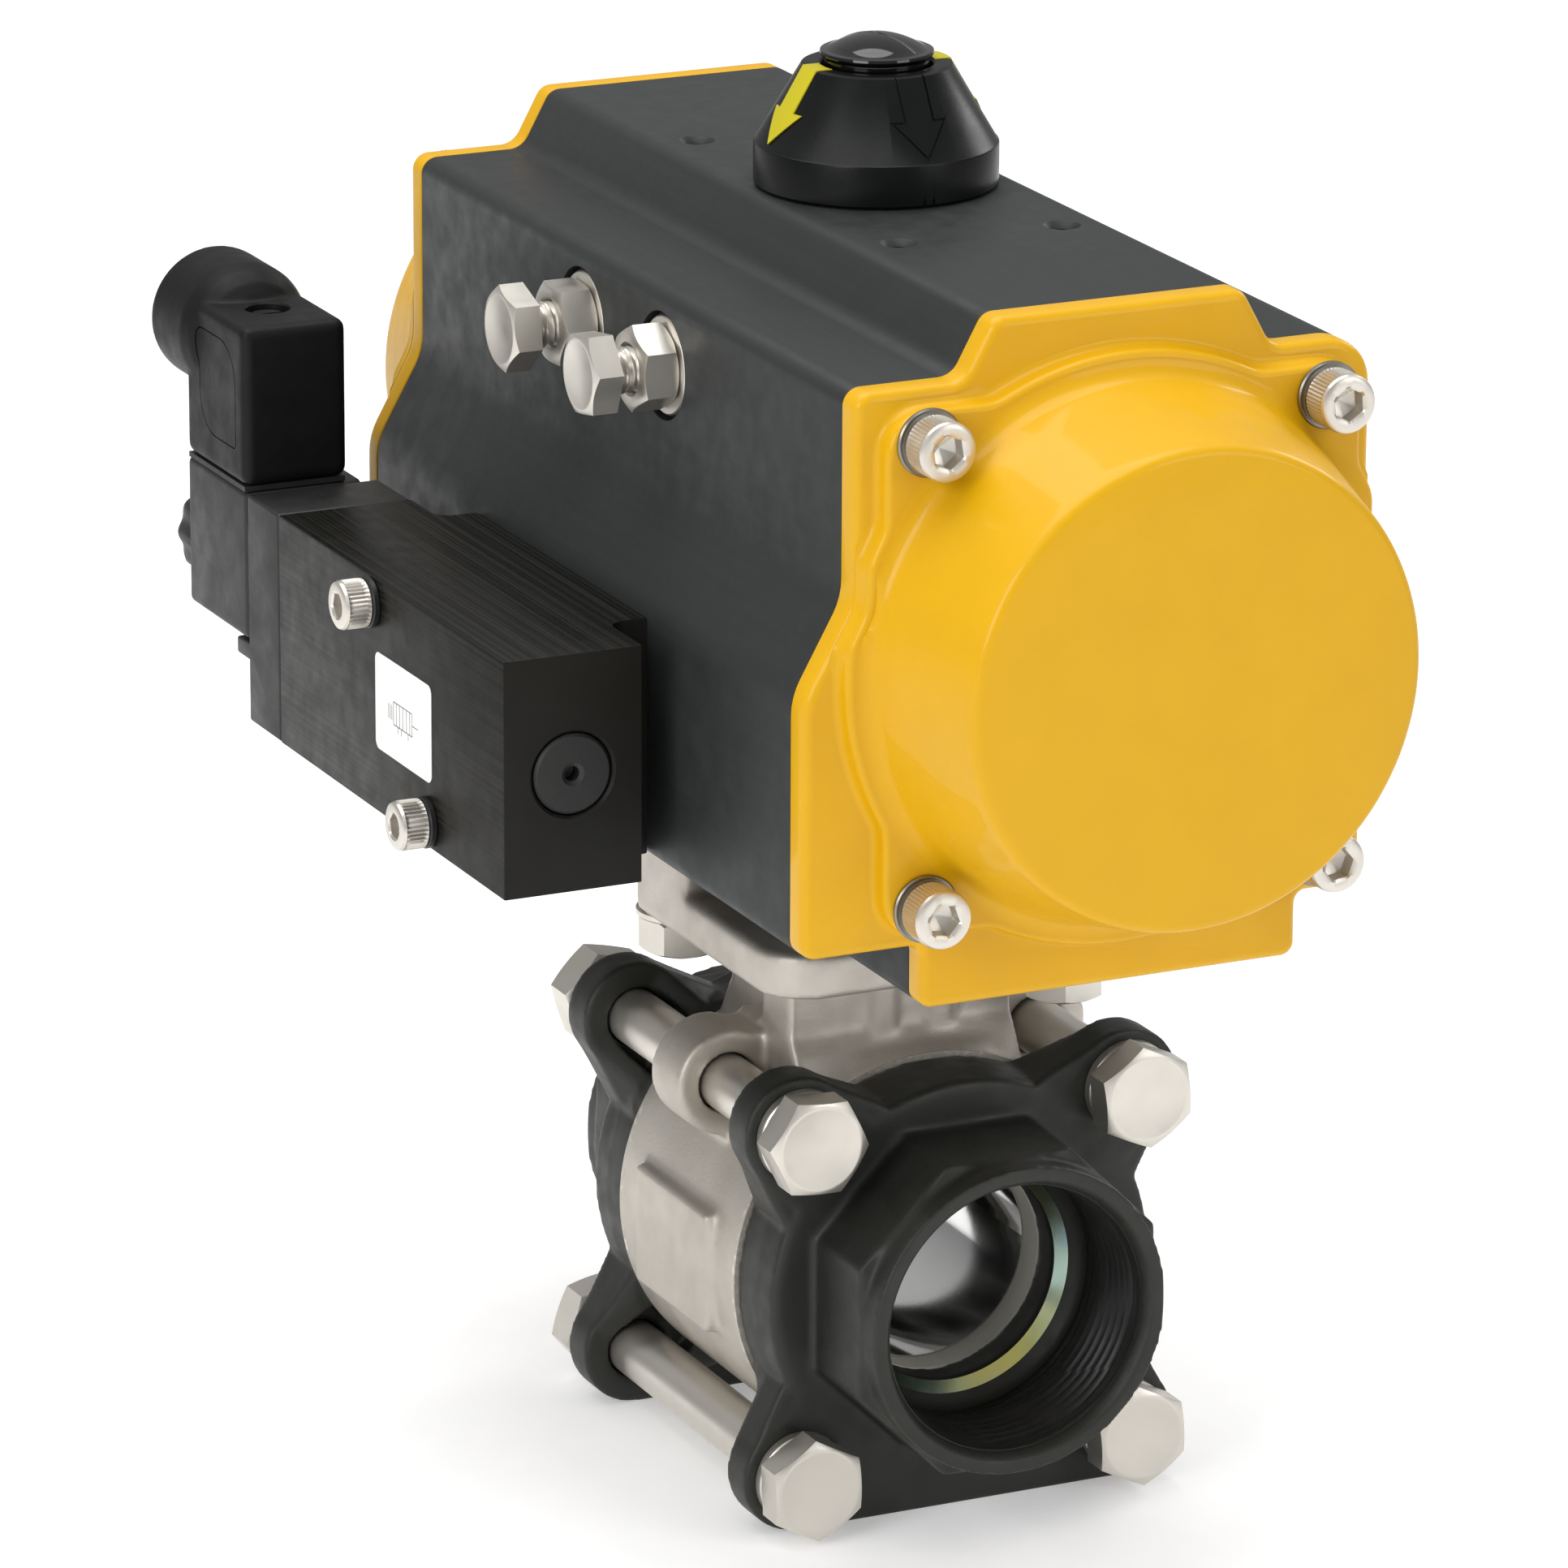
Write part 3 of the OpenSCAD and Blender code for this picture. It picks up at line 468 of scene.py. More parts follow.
def plain(name, colour, rough, metal=0.0, coat=0.0, grain=1.0, specular=0.5):
    """A simple moulded, turned or coated surface with fine grain."""
    finish = Finish(name, colour, rough, metal, coat, 0.05, specular)
    return finish.bump(2300, grain).bump(350, grain * 0.6).done()


def plated():
    """Zinc plate with its blue and straw tints."""
    blue, straw = rgb(112, 148, 166), rgb(190, 186, 110)
    finish = Finish("plated_step", blue, 0.22, metal=1.0)
    finish.colour = finish.mix_colour(blue, straw, finish.range(finish.noise(38, 2), 0, 1))
    return finish.bump(900, 0.6).done()


BODY = anodised_body()
BLOCK = anodised_block()
YELLOW = yellow_paint()
STEEL = stainless()
CAST = cast_stainless()
BLACK = black_phosphate()
THREAD = Finish("dark_thread", rgb(42, 43, 42), 0.4, metal=0.5).bump(1500, 1.0).done()
PLATED = plated()
PLASTIC = plain("black_plastic", rgb(33, 34, 33), 0.5, grain=3.0, specular=0.38)
MOULDED = plain("moulded_plug", rgb(16, 17, 16), 0.5, grain=3.0, specular=0.18)
INDICATOR = plain("indicator_plastic", rgb(14, 15, 15), 0.3, grain=1.2, specular=0.14)
GLOSS = plain("button_gloss", rgb(9, 9, 10), 0.08, coat=0.3, grain=0.1, specular=0.3)
SPRING = plain("spring_steel", rgb(140, 137, 130), 0.34, metal=1.0)
FILM = plain("label_film", rgb(240, 240, 238), 0.3, grain=0.3)
INK = plain("label_ink", rgb(30, 30, 32), 0.4, grain=0.3)

SLOT_FINISH = {
    "anodised_body": BODY,
    "anodised_block": BLOCK,
    "yellow_paint": YELLOW,
    "stainless_fastener": STEEL,
    "cast_stainless": CAST,
    "black_phosphate": BLACK,
    "machined_steel": plain("machined_steel", rgb(170, 170, 172), 0.26, metal=1.0),
    "ball_chrome": plain("ball_chrome", rgb(222, 222, 220), 0.08, metal=1.0, grain=0.2),
    "piston_aluminium": plain("piston_aluminium", rgb(190, 192, 196), 0.36, metal=1.0, grain=2.0),
    "indicator_plastic": INDICATOR,
    "indicator_inlay": plain("indicator_inlay", rgb(184, 172, 20), 0.45, grain=0.8, specular=0.3),
    "black_plastic": PLASTIC,
    "label_film": FILM,
    "white_polymer": plain("white_polymer", rgb(228, 224, 212), 0.4),
    "seal_rubber": plain("seal_rubber", rgb(30, 30, 30), 0.6),
    "spring_steel": SPRING,
    "terminal_brass": plain("terminal_brass", rgb(200, 170, 100), 0.3, metal=1.0),
}


def finish_cad_nodes():
    """Every CAD node that stays gets its slot's finish."""
    for entry in frame["record"]["subparts"]:
        mesh = frame["nodes"][entry["node"]].data
        mesh.materials.clear()
        mesh.materials.append(SLOT_FINISH[entry["material_slot"]])
    frame["nodes"]["connector_screw"].data.materials[0] = THREAD


# ---------- fasteners ----------


def hex_radius(angle, af):
    """Distance from the axis to a hexagon's side, with a flat across the angle zero."""
    turn = (math.degrees(angle) + 30) % 60 - 30
    return af / 2 / math.cos(math.radians(turn))


def hex_rings(af, low, high, chamfer_low, chamfer_high):
    """Rings of a hexagon whose corners are turned off at one end or at both."""
    touch = af * 0.475
    slope = math.tan(math.radians(28))

    def ring(cut, level, sign):
        points = []
        for angle in angles(HEX_POINTS):
            r = hex_radius(angle, af)
            drop = max(0.0, r - touch) * slope if cut else 0.0
            points.append(polar(r, angle, level + sign * drop))
        return points

    rings = []
    if chamfer_low:
        rings.append(circle(touch, low, HEX_POINTS))
    rings.append(ring(chamfer_low, low, 1))
    rings.append(ring(chamfer_high, high, -1))
    if chamfer_high:
        rings.append(circle(touch, high, HEX_POINTS))
    return rings


def hex_head(shape, af, height, where):
    """A hexagon head: washer face at 0, chamfered top with a faint turned dish."""
    rings = [circle(af * 0.46, 0, HEX_POINTS)] + hex_rings(af, 0.25, height, False, True)
    rings.append(circle(af * 0.44, height, HEX_POINTS))
    rings.append(circle(af * 0.42, height - 0.12, HEX_POINTS))
    shape.rings(rings, where)


def hex_nut(shape, af, hole, height, where):
    """A hexagon nut chamfered on both faces, with a countersunk bore."""
    sink = 0.6
    rings = hex_rings(af, 0, height, True, True)
    for r, h in ((hole + sink, height), (hole, height - sink), (hole, sink), (hole + sink, 0)):
        rings.append(circle(r, h, HEX_POINTS))
    shape.rings(rings, where, loop=True)


def washer(shape, outer, inner, height, where):
    """A flat washer with rolled edges."""
    soft = 0.25
    profile = [(inner, 0), (outer - soft, 0), (outer, soft), (outer, height - soft)]
    profile += [(outer - soft, height), (inner, height)]
    shape.lathe(profile, where, loop=True)


def threaded_rod(shape, r, pitch, low, high, where, depth=0.55):
    """A rod with a helical thread and chamfered ends."""
    count, per_turn = 48, 6
    rows = max(2, round((high - low) / pitch * per_turn))
    rings = [circle(r - depth - 0.1, low, count)]
    for k in range(rows + 1):
        level = low + 0.3 + (high - low - 0.6) * k / rows
        fade = min(1.0, (level - low) / pitch, (high - level) / pitch)
        ring = []
        for i in range(count):
            phase = (level / pitch - i / count) % 1.0
            valley = 1 - abs(2 * phase - 1)
            reach = r - depth * (valley if fade >= 1 else 1 - (1 - valley) * fade)
            ring.append(polar(reach, TAU * i / count, level))
        rings.append(ring)
    rings.append(circle(r - depth - 0.1, high, count))
    shape.rings(rings, where)


def socket_head(shape, r, height, af, where, knurls=48):
    """A socket screw's head: straight knurl on the side, rounded rim, hexagon socket."""
    knurl_depth, row = 0.24, 0.5
    count = 2 * knurls
    rings = [circle(r - 0.35, 0, count), circle(r - 0.05, 0.3, count)]
    low, high = 0.7, height - 1.0
    rows = max(4, round((high - low) / row))
    for k in range(rows + 1):
        level = low + (high - low) * k / rows
        ring = []
        for i in range(count):
            reach = r - (knurl_depth if i % 2 else 0.0)
            ring.append(polar(reach, TAU * i / count, level))
        rings.append(ring)
    rings += [circle(r - 0.05, height - 0.75, count), circle(r - 0.25, height - 0.25, count)]
    rings += [circle(r - 0.7, height, count), circle(af * 0.62, height, count)]
    depth = height * 0.5

    def socket(level, scale=1.0):
        return [polar(hex_radius(a, af) * scale, a, level) for a in angles(count)]

    rings += [socket(height - 0.3), socket(height - depth), socket(height - depth - 0.1, 0.85)]
    rings.append(circle(0.4, height - depth - 0.9, count))
    shape.rings(rings, where)


def fasteners(shape, name, node, material=STEEL):
    shown(shape.build(name), "stainless_fastener", material, node)


def at_cap_screws():
    """The eight cap screw places and their outward directions."""
    for end in (-1, 1):
        for x in (-SCREW_X, SCREW_X):
            for z in (-SCREW_Z, SCREW_Z):
                yield Vector((x, end * SEAT_Y, CYL_Z + z)), Vector((0, end, 0))


def end_cap_screws():
    """Socket screws, each on a flat washer and a spring washer."""
    flat_r, spring_r, hole, flat, stack = 5.7, 5.25, 3.2, 0.9, 1.6
    head_r, head_h, socket, shank = 5.0, 6.0, 5.0, 24
    heads, washers = Shape(), Shape()
    for seat, out in at_cap_screws():
        spin = random.uniform(0, 60)
        where, raised = place(seat, out), seat + out * stack
        washer(washers, flat_r, hole, flat, where)
        spring = [(hole, flat), (spring_r, flat), (spring_r, stack), (hole, stack)]
        washers.lathe(spring, where, 48, True)
        socket_head(heads, head_r, head_h, socket, place(raised, out, spin))
        heads.lathe([(M6_R, -shank), (M6_R, 0.2)], place(raised, out), 32)
    fasteners(heads, "cap_screws", "end_cap_screws")
    fasteners(washers, "cap_washers", "end_cap_washers", SPRING)


def travel_stops():
    """The two stop bolts, each locked by a nut on a washer."""
    head_x, head_h = box("travel_stop_bolts")[0].x, 5.3
    nut_low, nut_high = box("travel_stop_nuts")
    nut_h = nut_high.x - nut_low.x
    thread_x, thread, shank_x, shank = -57.3, 12.2, -45.4, 36
    washer_r, hole, washer_h, inwards = 8.4, 4.1, 1.6, (1, 0, 0)
    bolts, nuts, washers = Shape(), Shape(), Shape()
    for y, spin in ((-STOP_Y, 8), (STOP_Y, 41)):
        hex_head(bolts, M8_FLATS, head_h, place((head_x + head_h, y, STOP_Z), (-1, 0, 0), spin))
        bolts.lathe([(M8_R, 0), (M8_R, shank)], place((shank_x, y, STOP_Z), inwards), 40)
        threaded_rod(bolts, M8_R, M8_PITCH, 0, thread, place((thread_x, y, STOP_Z), inwards))
        hex_nut(nuts, M8_FLATS, M8_R, nut_h, place((nut_low.x, y, STOP_Z), inwards, spin + 22))
        washer(washers, washer_r, hole, washer_h, place((nut_high.x, y, STOP_Z), inwards))
    fasteners(bolts, "stop_bolts", "travel_stop_bolts")
    fasteners(nuts, "stop_nuts", "travel_stop_nuts")
    fasteners(washers, "stop_washers", "travel_stop_washers")


def tie_bolts():
    """Four long bolts through both flanges, with washers at both ends and nuts at the rear."""
    washer_r, washer_h, hole, smooth, proud = 8.2, 2.2, 5.1, 69, 0.6
    head_h, nut_h = 6.4, 8
    front, rear = Vector((0, -1, 0)), Vector((0, 1, 0))
    end = 2 * FLANGE_Y + washer_h + nut_h + proud
    bolts, nuts = Shape(), Shape()
    for x in (-TIE, TIE):
        for z in (-TIE, TIE):
            at = Vector((x, -FLANGE_Y, PIPE_Z + z))
            far = Vector((x, FLANGE_Y, PIPE_Z + z))
            spin = random.uniform(0, 60)
            hex_head(bolts, M10_FLATS, head_h, place(at + front * washer_h, front, spin))
            bolts.lathe([(M10_R, 0), (M10_R, smooth)], place(at, rear), 40)
            threaded_rod(bolts, M10_R, M10_PITCH, smooth - 1, end, place(at, rear), 0.6)
            washer(nuts, washer_r, hole, washer_h, place(at, front))
            washer(nuts, washer_r, hole, washer_h, place(far, rear))
            hex_nut(nuts, M10_FLATS, M10_R, nut_h, place(far + rear * washer_h, rear, spin + 17))
    fasteners(bolts, "tie_rods", "tie_bolts")
    fasteners(nuts, "tie_nuts", "tie_bolt_nuts")


def mounting_studs():
    """Two studs that hang from the body, with washers and nuts under the valve's pad."""
    low, high = box("mounting_studs")
    nut_low, nut_high = box("mounting_nuts")
    thread, washer_h, nut_h = 12, 1.4, 6.5
    studs, nuts = Shape(), Shape()
    for (x, y), spin in zip(STUD_PLACES, (12, 38)):
        threaded_rod(studs, M8_R, M8_PITCH, 0, thread, place((x, y, low.z)))
        studs.lathe([(M8_R, low.z + thread - 1), (M8_R, high.z)], place((x, y, 0)), 40)
        washer(nuts, 8.0, 4.1, washer_h, place((x, y, nut_high.z - washer_h)))
        hex_nut(nuts, M8_FLATS, M8_R, nut_h, place((x, y, nut_low.z), (0, 0, 1), spin))
    fasteners(studs, "studs", "mounting_studs")
    fasteners(nuts, "stud_nuts", "mounting_nuts")


def block_screws():
    """The two M5 socket screws that hold the pilot valve, on lock washers."""
    washer_r, hole, washer_h, outwards = 4.4, 2.6, 1.3, Vector((-1, 0, 0))
    head_r, head_h, socket, shank_r, shank = 4.25, 5.0, 4.0, 2.5, 39
    screws, washers = Shape(), Shape()
    for y, z in BLOCK_SCREW_PLACES:
        seat = Vector((BLOCK_FACE_X, y, BLOCK_Z + z))
        washer(washers, washer_r, hole, washer_h, place(seat, outwards))
        raised = place(seat + outwards * washer_h, outwards, y)
        socket_head(screws, head_r, head_h, socket, raised, 36)
        screws.lathe([(shank_r, -shank), (shank_r, 0.2)], place(seat, outwards), 32)
    fasteners(screws, "pilot_screws", "block_screws")
    fasteners(washers, "pilot_washers", "block_lock_washers", THREAD)


# ---------- actuator ----------


def body_outline():
    """The extrusion's section about the cylinder's axis, anticlockwise seen from the front."""
    foot, ledge, crest = 58, 28, 22.5
    corners = [
        (-SKIRT, -foot, 2.4), (SKIRT, -foot, 2.4), (SKIRT, -SHOULDER, 2), (RIGHT_X, -SHOULDER, 4),
        (RIGHT_X, SHOULDER, 8), (ledge, SHOULDER, 4), (crest, HALF_HEIGHT, 3),
        (-crest, HALF_HEIGHT, 3), (-ledge, SHOULDER, 4), (-LEFT_X, SHOULDER, 3),
        (-LEFT_X, 12.4, 12), (-FACE_X, -3.3, 12), (-FACE_X, -SHOULDER, 3), (-SKIRT, -SHOULDER, 2),
    ]
    return rounded(corners, 9)


def section_place(end):
    """Places points of the section on one end's side of the middle."""
    return lambda x, y, h: (x, end * h, CYL_Z + y)


def groove(path, half, low, high, where):
    """A closed band along an outline, half its width on each side."""
    rings = []
    for h, d in ((low, half), (high, half), (high, -half), (low, -half)):
        rings.append([where(p.x, p.y, h) for p in inset(path, -d)])
    return Shape().rings(rings, loop=True).build("groove")


def cylinder(r, a, b, count=48):
    """A plain closed cutter between two points."""
    a, b = Vector(a), Vector(b)
    return turned("cutter", [(r, 0), (r, (b - a).length)], place(a, b - a), count)


def actuator_body():
    """The extrusion with its bore, its pinion's room and its screw holes."""
    rims = (-HALF_LEN, HALF_LEN, 0.5, 0.5)
    body = slab(Shape(), body_outline(), *rims, section_place(1), 2).build("body_shell")
    cam_r, bearing_r, foot_r, m8_hole, recess_r, m6_hole = 27.5, 14.5, 20.5, 4.1, 9.25, 3.1
    cutters = [
        (BORE_R, (0, -90, CYL_Z), (0, 90, CYL_Z), 128),
        (cam_r, (0, 0, CYL_Z + 20), (0, 0, CYL_Z + 41), 96),
        (bearing_r, (0, 0, CYL_Z + 30), (0, 0, TOP_Z + 1), 64),
        (foot_r, (0, 0, FOOT_Z - 1), (0, 0, CYL_Z - 30), 64),
    ]
    for y in (-STOP_Y, STOP_Y):
        cutters.append((m8_hole, (-60, y, STOP_Z), (0, y, STOP_Z), 32))
        cutters.append((recess_r, (-60, y, STOP_Z), (-45.2, y, STOP_Z), 64))
    for x, y in STUD_PLACES:
        cutters.append((m8_hole, (x, y, FOOT_Z - 1), (x, y, FOOT_Z + 13), 32))
    for seat, out in at_cap_screws():
        cutters.append((m6_hole, seat, seat - out * 26, 24))
    for r, a, b, count in cutters:
        cut(body, cylinder(r, a, b, count))
    tapped = [(3.2, 1), (3.2, 0), (2.5, -0.7), (2.2, -1.2), (2.5, -1.6)]
    tapped += [(2.2, -2.0), (2.5, -2.4), (2.2, -2.8), (2.5, -3.2), (2.5, -10)]
    for x in (-15, 15):
        for y in (-40, 40):
            cut(body, turned("tap", tapped, place((x, y, TOP_Z)), 32))
    shown(body, "anodised_body", BODY, "actuator_body")


def ray_radius(outline, angle):
    """Distance from the centre to an outline in one direction."""
    ray = Vector((math.cos(angle), math.sin(angle)))
    best = 0.0
    for i, b in enumerate(outline):
        a = outline[i - 1]
        side = b - a
        cross = ray.x * side.y - ray.y * side.x
        if abs(cross) < 1e-9:
            continue
        reach = (a.x * side.y - a.y * side.x) / cross
        along = (a.x * ray.y - a.y * ray.x) / cross
        if reach > 0 and -1e-6 <= along <= 1 + 1e-6:
            best = max(best, reach)
    return best


def end_cap(end, name, node):
    """Painted die casting: rounded flange, plateau under the screws and the cylinder's dome."""
    where, outline = section_place(end), body_outline()
    flange, count, top_round = 5.0, 360, 1.3
    cap = slab(Shape(), outline, HALF_LEN, HALF_LEN + flange, 0.3, 1.8, where).build(name)
    pad = rounded([(-43.2, -44, 7), (42.4, -44, 7), (42.4, 44, 7), (-43.2, 44, 7)])
    edge, limit = [], []
    for angle in angles(count):
        limit.append(ray_radius(outline, angle))
        edge.append(max(45.6, min(max(ray_radius(pad, angle), 50.0), limit[-1] - 1.0)))
    for _ in range(3):
        edge = [(edge[i - 1] + edge[i] * 2 + edge[(i + 1) % count]) / 4 for i in range(count)]
    rings = []

    def ring(height, reach):
        """Adds a ring whose radius comes from the plateau's edge and the outline's reach."""
        radii = [reach(e, o) for e, o in zip(edge, limit)]
        points = [polar(r, a, HALF_LEN + height) for r, a in zip(radii, angles(count))]
        rings.append([where(*point) for point in points])

    ring(1.0, lambda e, o: min(e, o - 2.2))
    for out, height in ((1.6, 4.9), (0.75, 5.2), (0.2, 5.9), (0.0, 6.8)):
        ring(height, lambda e, o: min(e + out, o - 0.35 if height < 5.1 else o - 0.5))
    for k in range(5):
        turn = math.pi / 2 * k / 4
        height = PLATEAU - top_round * (1 - math.sin(turn))
        ring(height, lambda e, o: e - top_round * (1 - math.cos(turn)))
    dome = [(49.3, 0), (47.8, 0.25), (46.7, 0.8), (45.9, 1.7), (45.4, 3.0), (44.0, 9.0)]
    dome += [(42.4, 16.0), (40.9, 22.6), (40.6, 24.0), (40.2, 25.0), (39.6, 25.6), (38.8, 25.8)]
    for r, above in dome:
        ring(PLATEAU + above, lambda e, o: min(r, e - 1.35) if above < 2.5 else r)
    ring(CAP_DISC_Y - HALF_LEN, lambda e, o: 20.0)
    join(cap, Shape().rings(rings).build("dome"))
    hollow = [(39, HALF_LEN - 1), (39, SEAT_Y), (34, CAP_DISC_Y - 5)]
    axis = place((0, 0, CYL_Z), (0, end, 0))
    cut(cap, turned("hollow", hollow, axis, 96))
    for x in (-SCREW_X, SCREW_X):
        for z in (-SCREW_Z, SCREW_Z):
            start = (x, end * (HALF_LEN - 2), CYL_Z + z)
            cut(cap, cylinder(3.2, start, (x, end * (SEAT_Y + 20), CYL_Z + z), 32))
    shown(cap, "yellow_paint", YELLOW, node, sharp=40)


def position_indicator():
    """Turned cone with notches at its foot and an outlined arrow on each plain side."""
    low, rim, neck = box("position_indicator")[0].z, TOP_Z + 7.5, NECK_Z
    ceiling, web = TOP_Z + 7, TOP_Z + 15
    profile = [(18.4, low), (20.5, low), (20.8, low + 0.3), (20.8, rim - 0.3)]
    profile += [(20.72, rim - 0.05), (20.5, rim + 0.1), (13.1, neck - 0.7), (12.8, neck - 0.2)]
    profile += [(12.3, neck), (9.8, neck), (9.5, neck - 0.3), (9.5, neck - 1.4), (3.2, neck - 1.4)]
    profile += [(3.2, web), (9.0, web), (9.0, ceiling), (18.4, ceiling)]
    cone = turned("indicator_cone", profile, None, 144, True)
    arrow = [(-2.6, 30), (-2.6, 13.9), (-4.8, 13.9), (0, 8.3), (4.8, 13.9), (2.6, 13.9), (2.6, 30)]
    path = [Vector((x, z)) for x, z in arrow]
    core = [(20.5, rim - 6), (20.2, rim + 0.1), (12.8, neck - 0.7), (1, neck + 12)]
    core = turned("core", core, None, 144)
    for side in (-1, 1):
        line = groove(path, 0.18, 9, 24, lambda x, y, h: (x, side * h, TOP_Z + y))
        combine(line, core, "DIFFERENCE", keep=True)
        cut(cone, line)
    bpy.data.objects.remove(core)
    for turn in (-92.3, -87.7, 87.7, 92.3):
        foot = polar(20.9, math.radians(turn), low - 0.4)
        cut(cone, turned("notch", [(0.7, 0), (0.05, 2.4)], place(foot), 4))
    shown(cone, "indicator_plastic", INDICATOR, "position_indicator", body="drive_train")


def indicator_button():
    """Glossy lens over the screw, with a thin rim and a ridge across it."""
    neck, lens_r, lens_h = NECK_Z, 8.6, 2.75
    half, steps = 8.4, 24

    def crown(r):
        return neck + 2.3 + lens_h * (1 - (r / lens_r) ** 2)

    profile = [(5.7, neck - 1.3), (9.0, neck - 1.3), (9.0, neck + 0.9), (9.5, neck + 1.3)]
    profile += [(9.75, neck + 1.8), (9.6, neck + 2.2), (9.2, neck + 2.35), (8.8, neck + 2.3)]
    profile += [(r, crown(r)) for r in (8.4, 7.4, 6.4, 5.2, 4.0, 2.8, 1.6, 0.5)]
    profile += [(0.5, neck + 2), (5.7, neck + 2)]
    button = turned("indicator_button", profile, None, 96, True)
    along = Vector(polar(1, math.radians(-62), 0))
    across = Vector((-along.y, along.x, 0))
    rings = []
    for k in range(steps + 1):
        r = -half + 2 * half * k / steps
        ring = []
        for bend in angles(12):
            lift = Vector((0, 0, crown(abs(r)) - 0.32 + 0.42 * math.sin(bend)))
            ring.append(along * r + across * (0.5 * math.cos(bend)) + lift)
        rings.append(ring)
    join(button, Shape().rings(rings).build("ridge"))
    shown(button, "indicator_plastic", GLOSS, "indicator_dome", body="drive_train", sharp=45)


# ---------- pilot valve ----------


def pilot_block():
    """The valve block with its reliefs, bore, ports and screw holes."""
    block = rounded_box("valve_block", BLOCK_LOW, BLOCK_HIGH, 0.35, 2)
    low, high = BLOCK_LOW.z - 1, BLOCK_HIGH.z + 1
    front = rounded([(-63.3, -50, 0), (-50, -50, 0), (-50, -30, 0), (-63.3, -30, 3)])
    back = rounded([(-63.3, 41, 3), (-50, 41, 0), (-50, 60, 0), (-63.3, 60, 0)])
    for outline in (front, back):
        rings = [[(p.x, p.y, h) for p in outline] for h in (low, high)]
        cut(block, Shape().rings(rings).build("relief"))
    mouth = [(7.7, -44.5), (7.7, -44), (7.2, -43.5), (7.2, -37), (6, -37), (6, 60)]
    cut(block, turned("bore", mouth, place((SPOOL_X, 0, SPOOL_Z), (0, 1, 0)), 64))
    port = [(6.3, -0.5), (6.3, 0), (5.6, 0.7), (5.6, 11), (4, 11), (4, 20)]
    for y in PORT_PLACES:
        cut(block, turned("port", port, place((SPOOL_X, y, BLOCK_LOW.z)), 48))
    for y, z in BLOCK_SCREW_PLACES:
        cut(block, cylinder(2.7, (-90, y, BLOCK_Z + z), (-50, y, BLOCK_Z + z), 32))
    shown(block, "anodised_block", BLOCK, "pilot_block")


def block_plug():
    """Round plug with a small blind hole."""
    profile = [(6.2, 6.8), (6.9, 6.4), (6.9, 0.5), (6.4, 0.0)]
    profile += [(2.0, 0.0), (1.3, 0.5), (1.3, 3.0), (0.1, 3.4)]
    where = place((SPOOL_X, BLOCK_LOW.y, SPOOL_Z), (0, 1, 0))
    plug = turned("block_plug", profile, where, 64)
    shown(plug, "black_plastic", PLASTIC, "block_end_plug")


def pilot_adapter():
    """Moulding between the block and the coil, with a lip under the coil."""
    low, high = box("pilot_adapter")
    face, back = BLOCK_FACE_X, COIL_LOW.y
    body = rounded_box("valve_adapter", (face, low.y + 0.15, low.z), (high.x, back, high.z), 0.6, 3)
    lip = (face, back - 3, low.z + 11), (high.x - 2, high.y, COIL_LOW.z - 0.3)
    join(body, rounded_box("lip", *lip, 0.5, 3))
    hole = (COIL_X, back - 8, COIL_Z), (COIL_X, back + 1, COIL_Z)
    cut(body, cylinder(6.5, *hole))
    shown(body, "black_plastic", PLASTIC, "pilot_adapter")


def solenoid_coil():
    """Moulded block with a hole for the armature tube and a notch in its front edge."""
    low, high = COIL_LOW, COIL_HIGH
    coil = rounded_box("coil_block", low + Vector((0, 0.25, 0)), high, 1.3, 4)
    hole = (COIL_X, 60, COIL_Z), (COIL_X, 100, COIL_Z)
    cut(coil, cylinder(5.7, *hole))
    notch = (low.x - 1, low.y - 1, high.z - 6), (low.x + 0.7, low.y + 0.7, high.z + 1)
    cut(coil, rounded_box("notch", *notch, 0.2, 2))
    shown(coil, "black_plastic", PLASTIC, "solenoid_coil")


def coil_nut():
    """Moulded nut with twelve soft lobes."""
    count, lobes = 96, 12
    profile = [(9.6, 0, 0), (10.2, 0.8, 0.25), (10.3, 6.6, 0.4)]
    profile += [(9.8, 8.2, 0.3), (8.2, 10.2, 0.1), (4, 10.9, 0)]
    rings = []
    for r, h, lobe in profile:
        ring = [polar(r - lobe + lobe * math.cos(lobes * a), a, h) for a in angles(count)]
        rings.append(ring)
    where = place((COIL_X, COIL_HIGH.y, COIL_Z), (0, 1, 0))
    nut = Shape().rings(rings, where).build("coil_nut_moulding")
    hole = (COIL_X, COIL_HIGH.y - 1, COIL_Z), (COIL_X, COIL_HIGH.y + 6, COIL_Z)
    cut(nut, cylinder(5.5, *hole))
    shown(nut, "black_plastic", PLASTIC, "coil_nut")


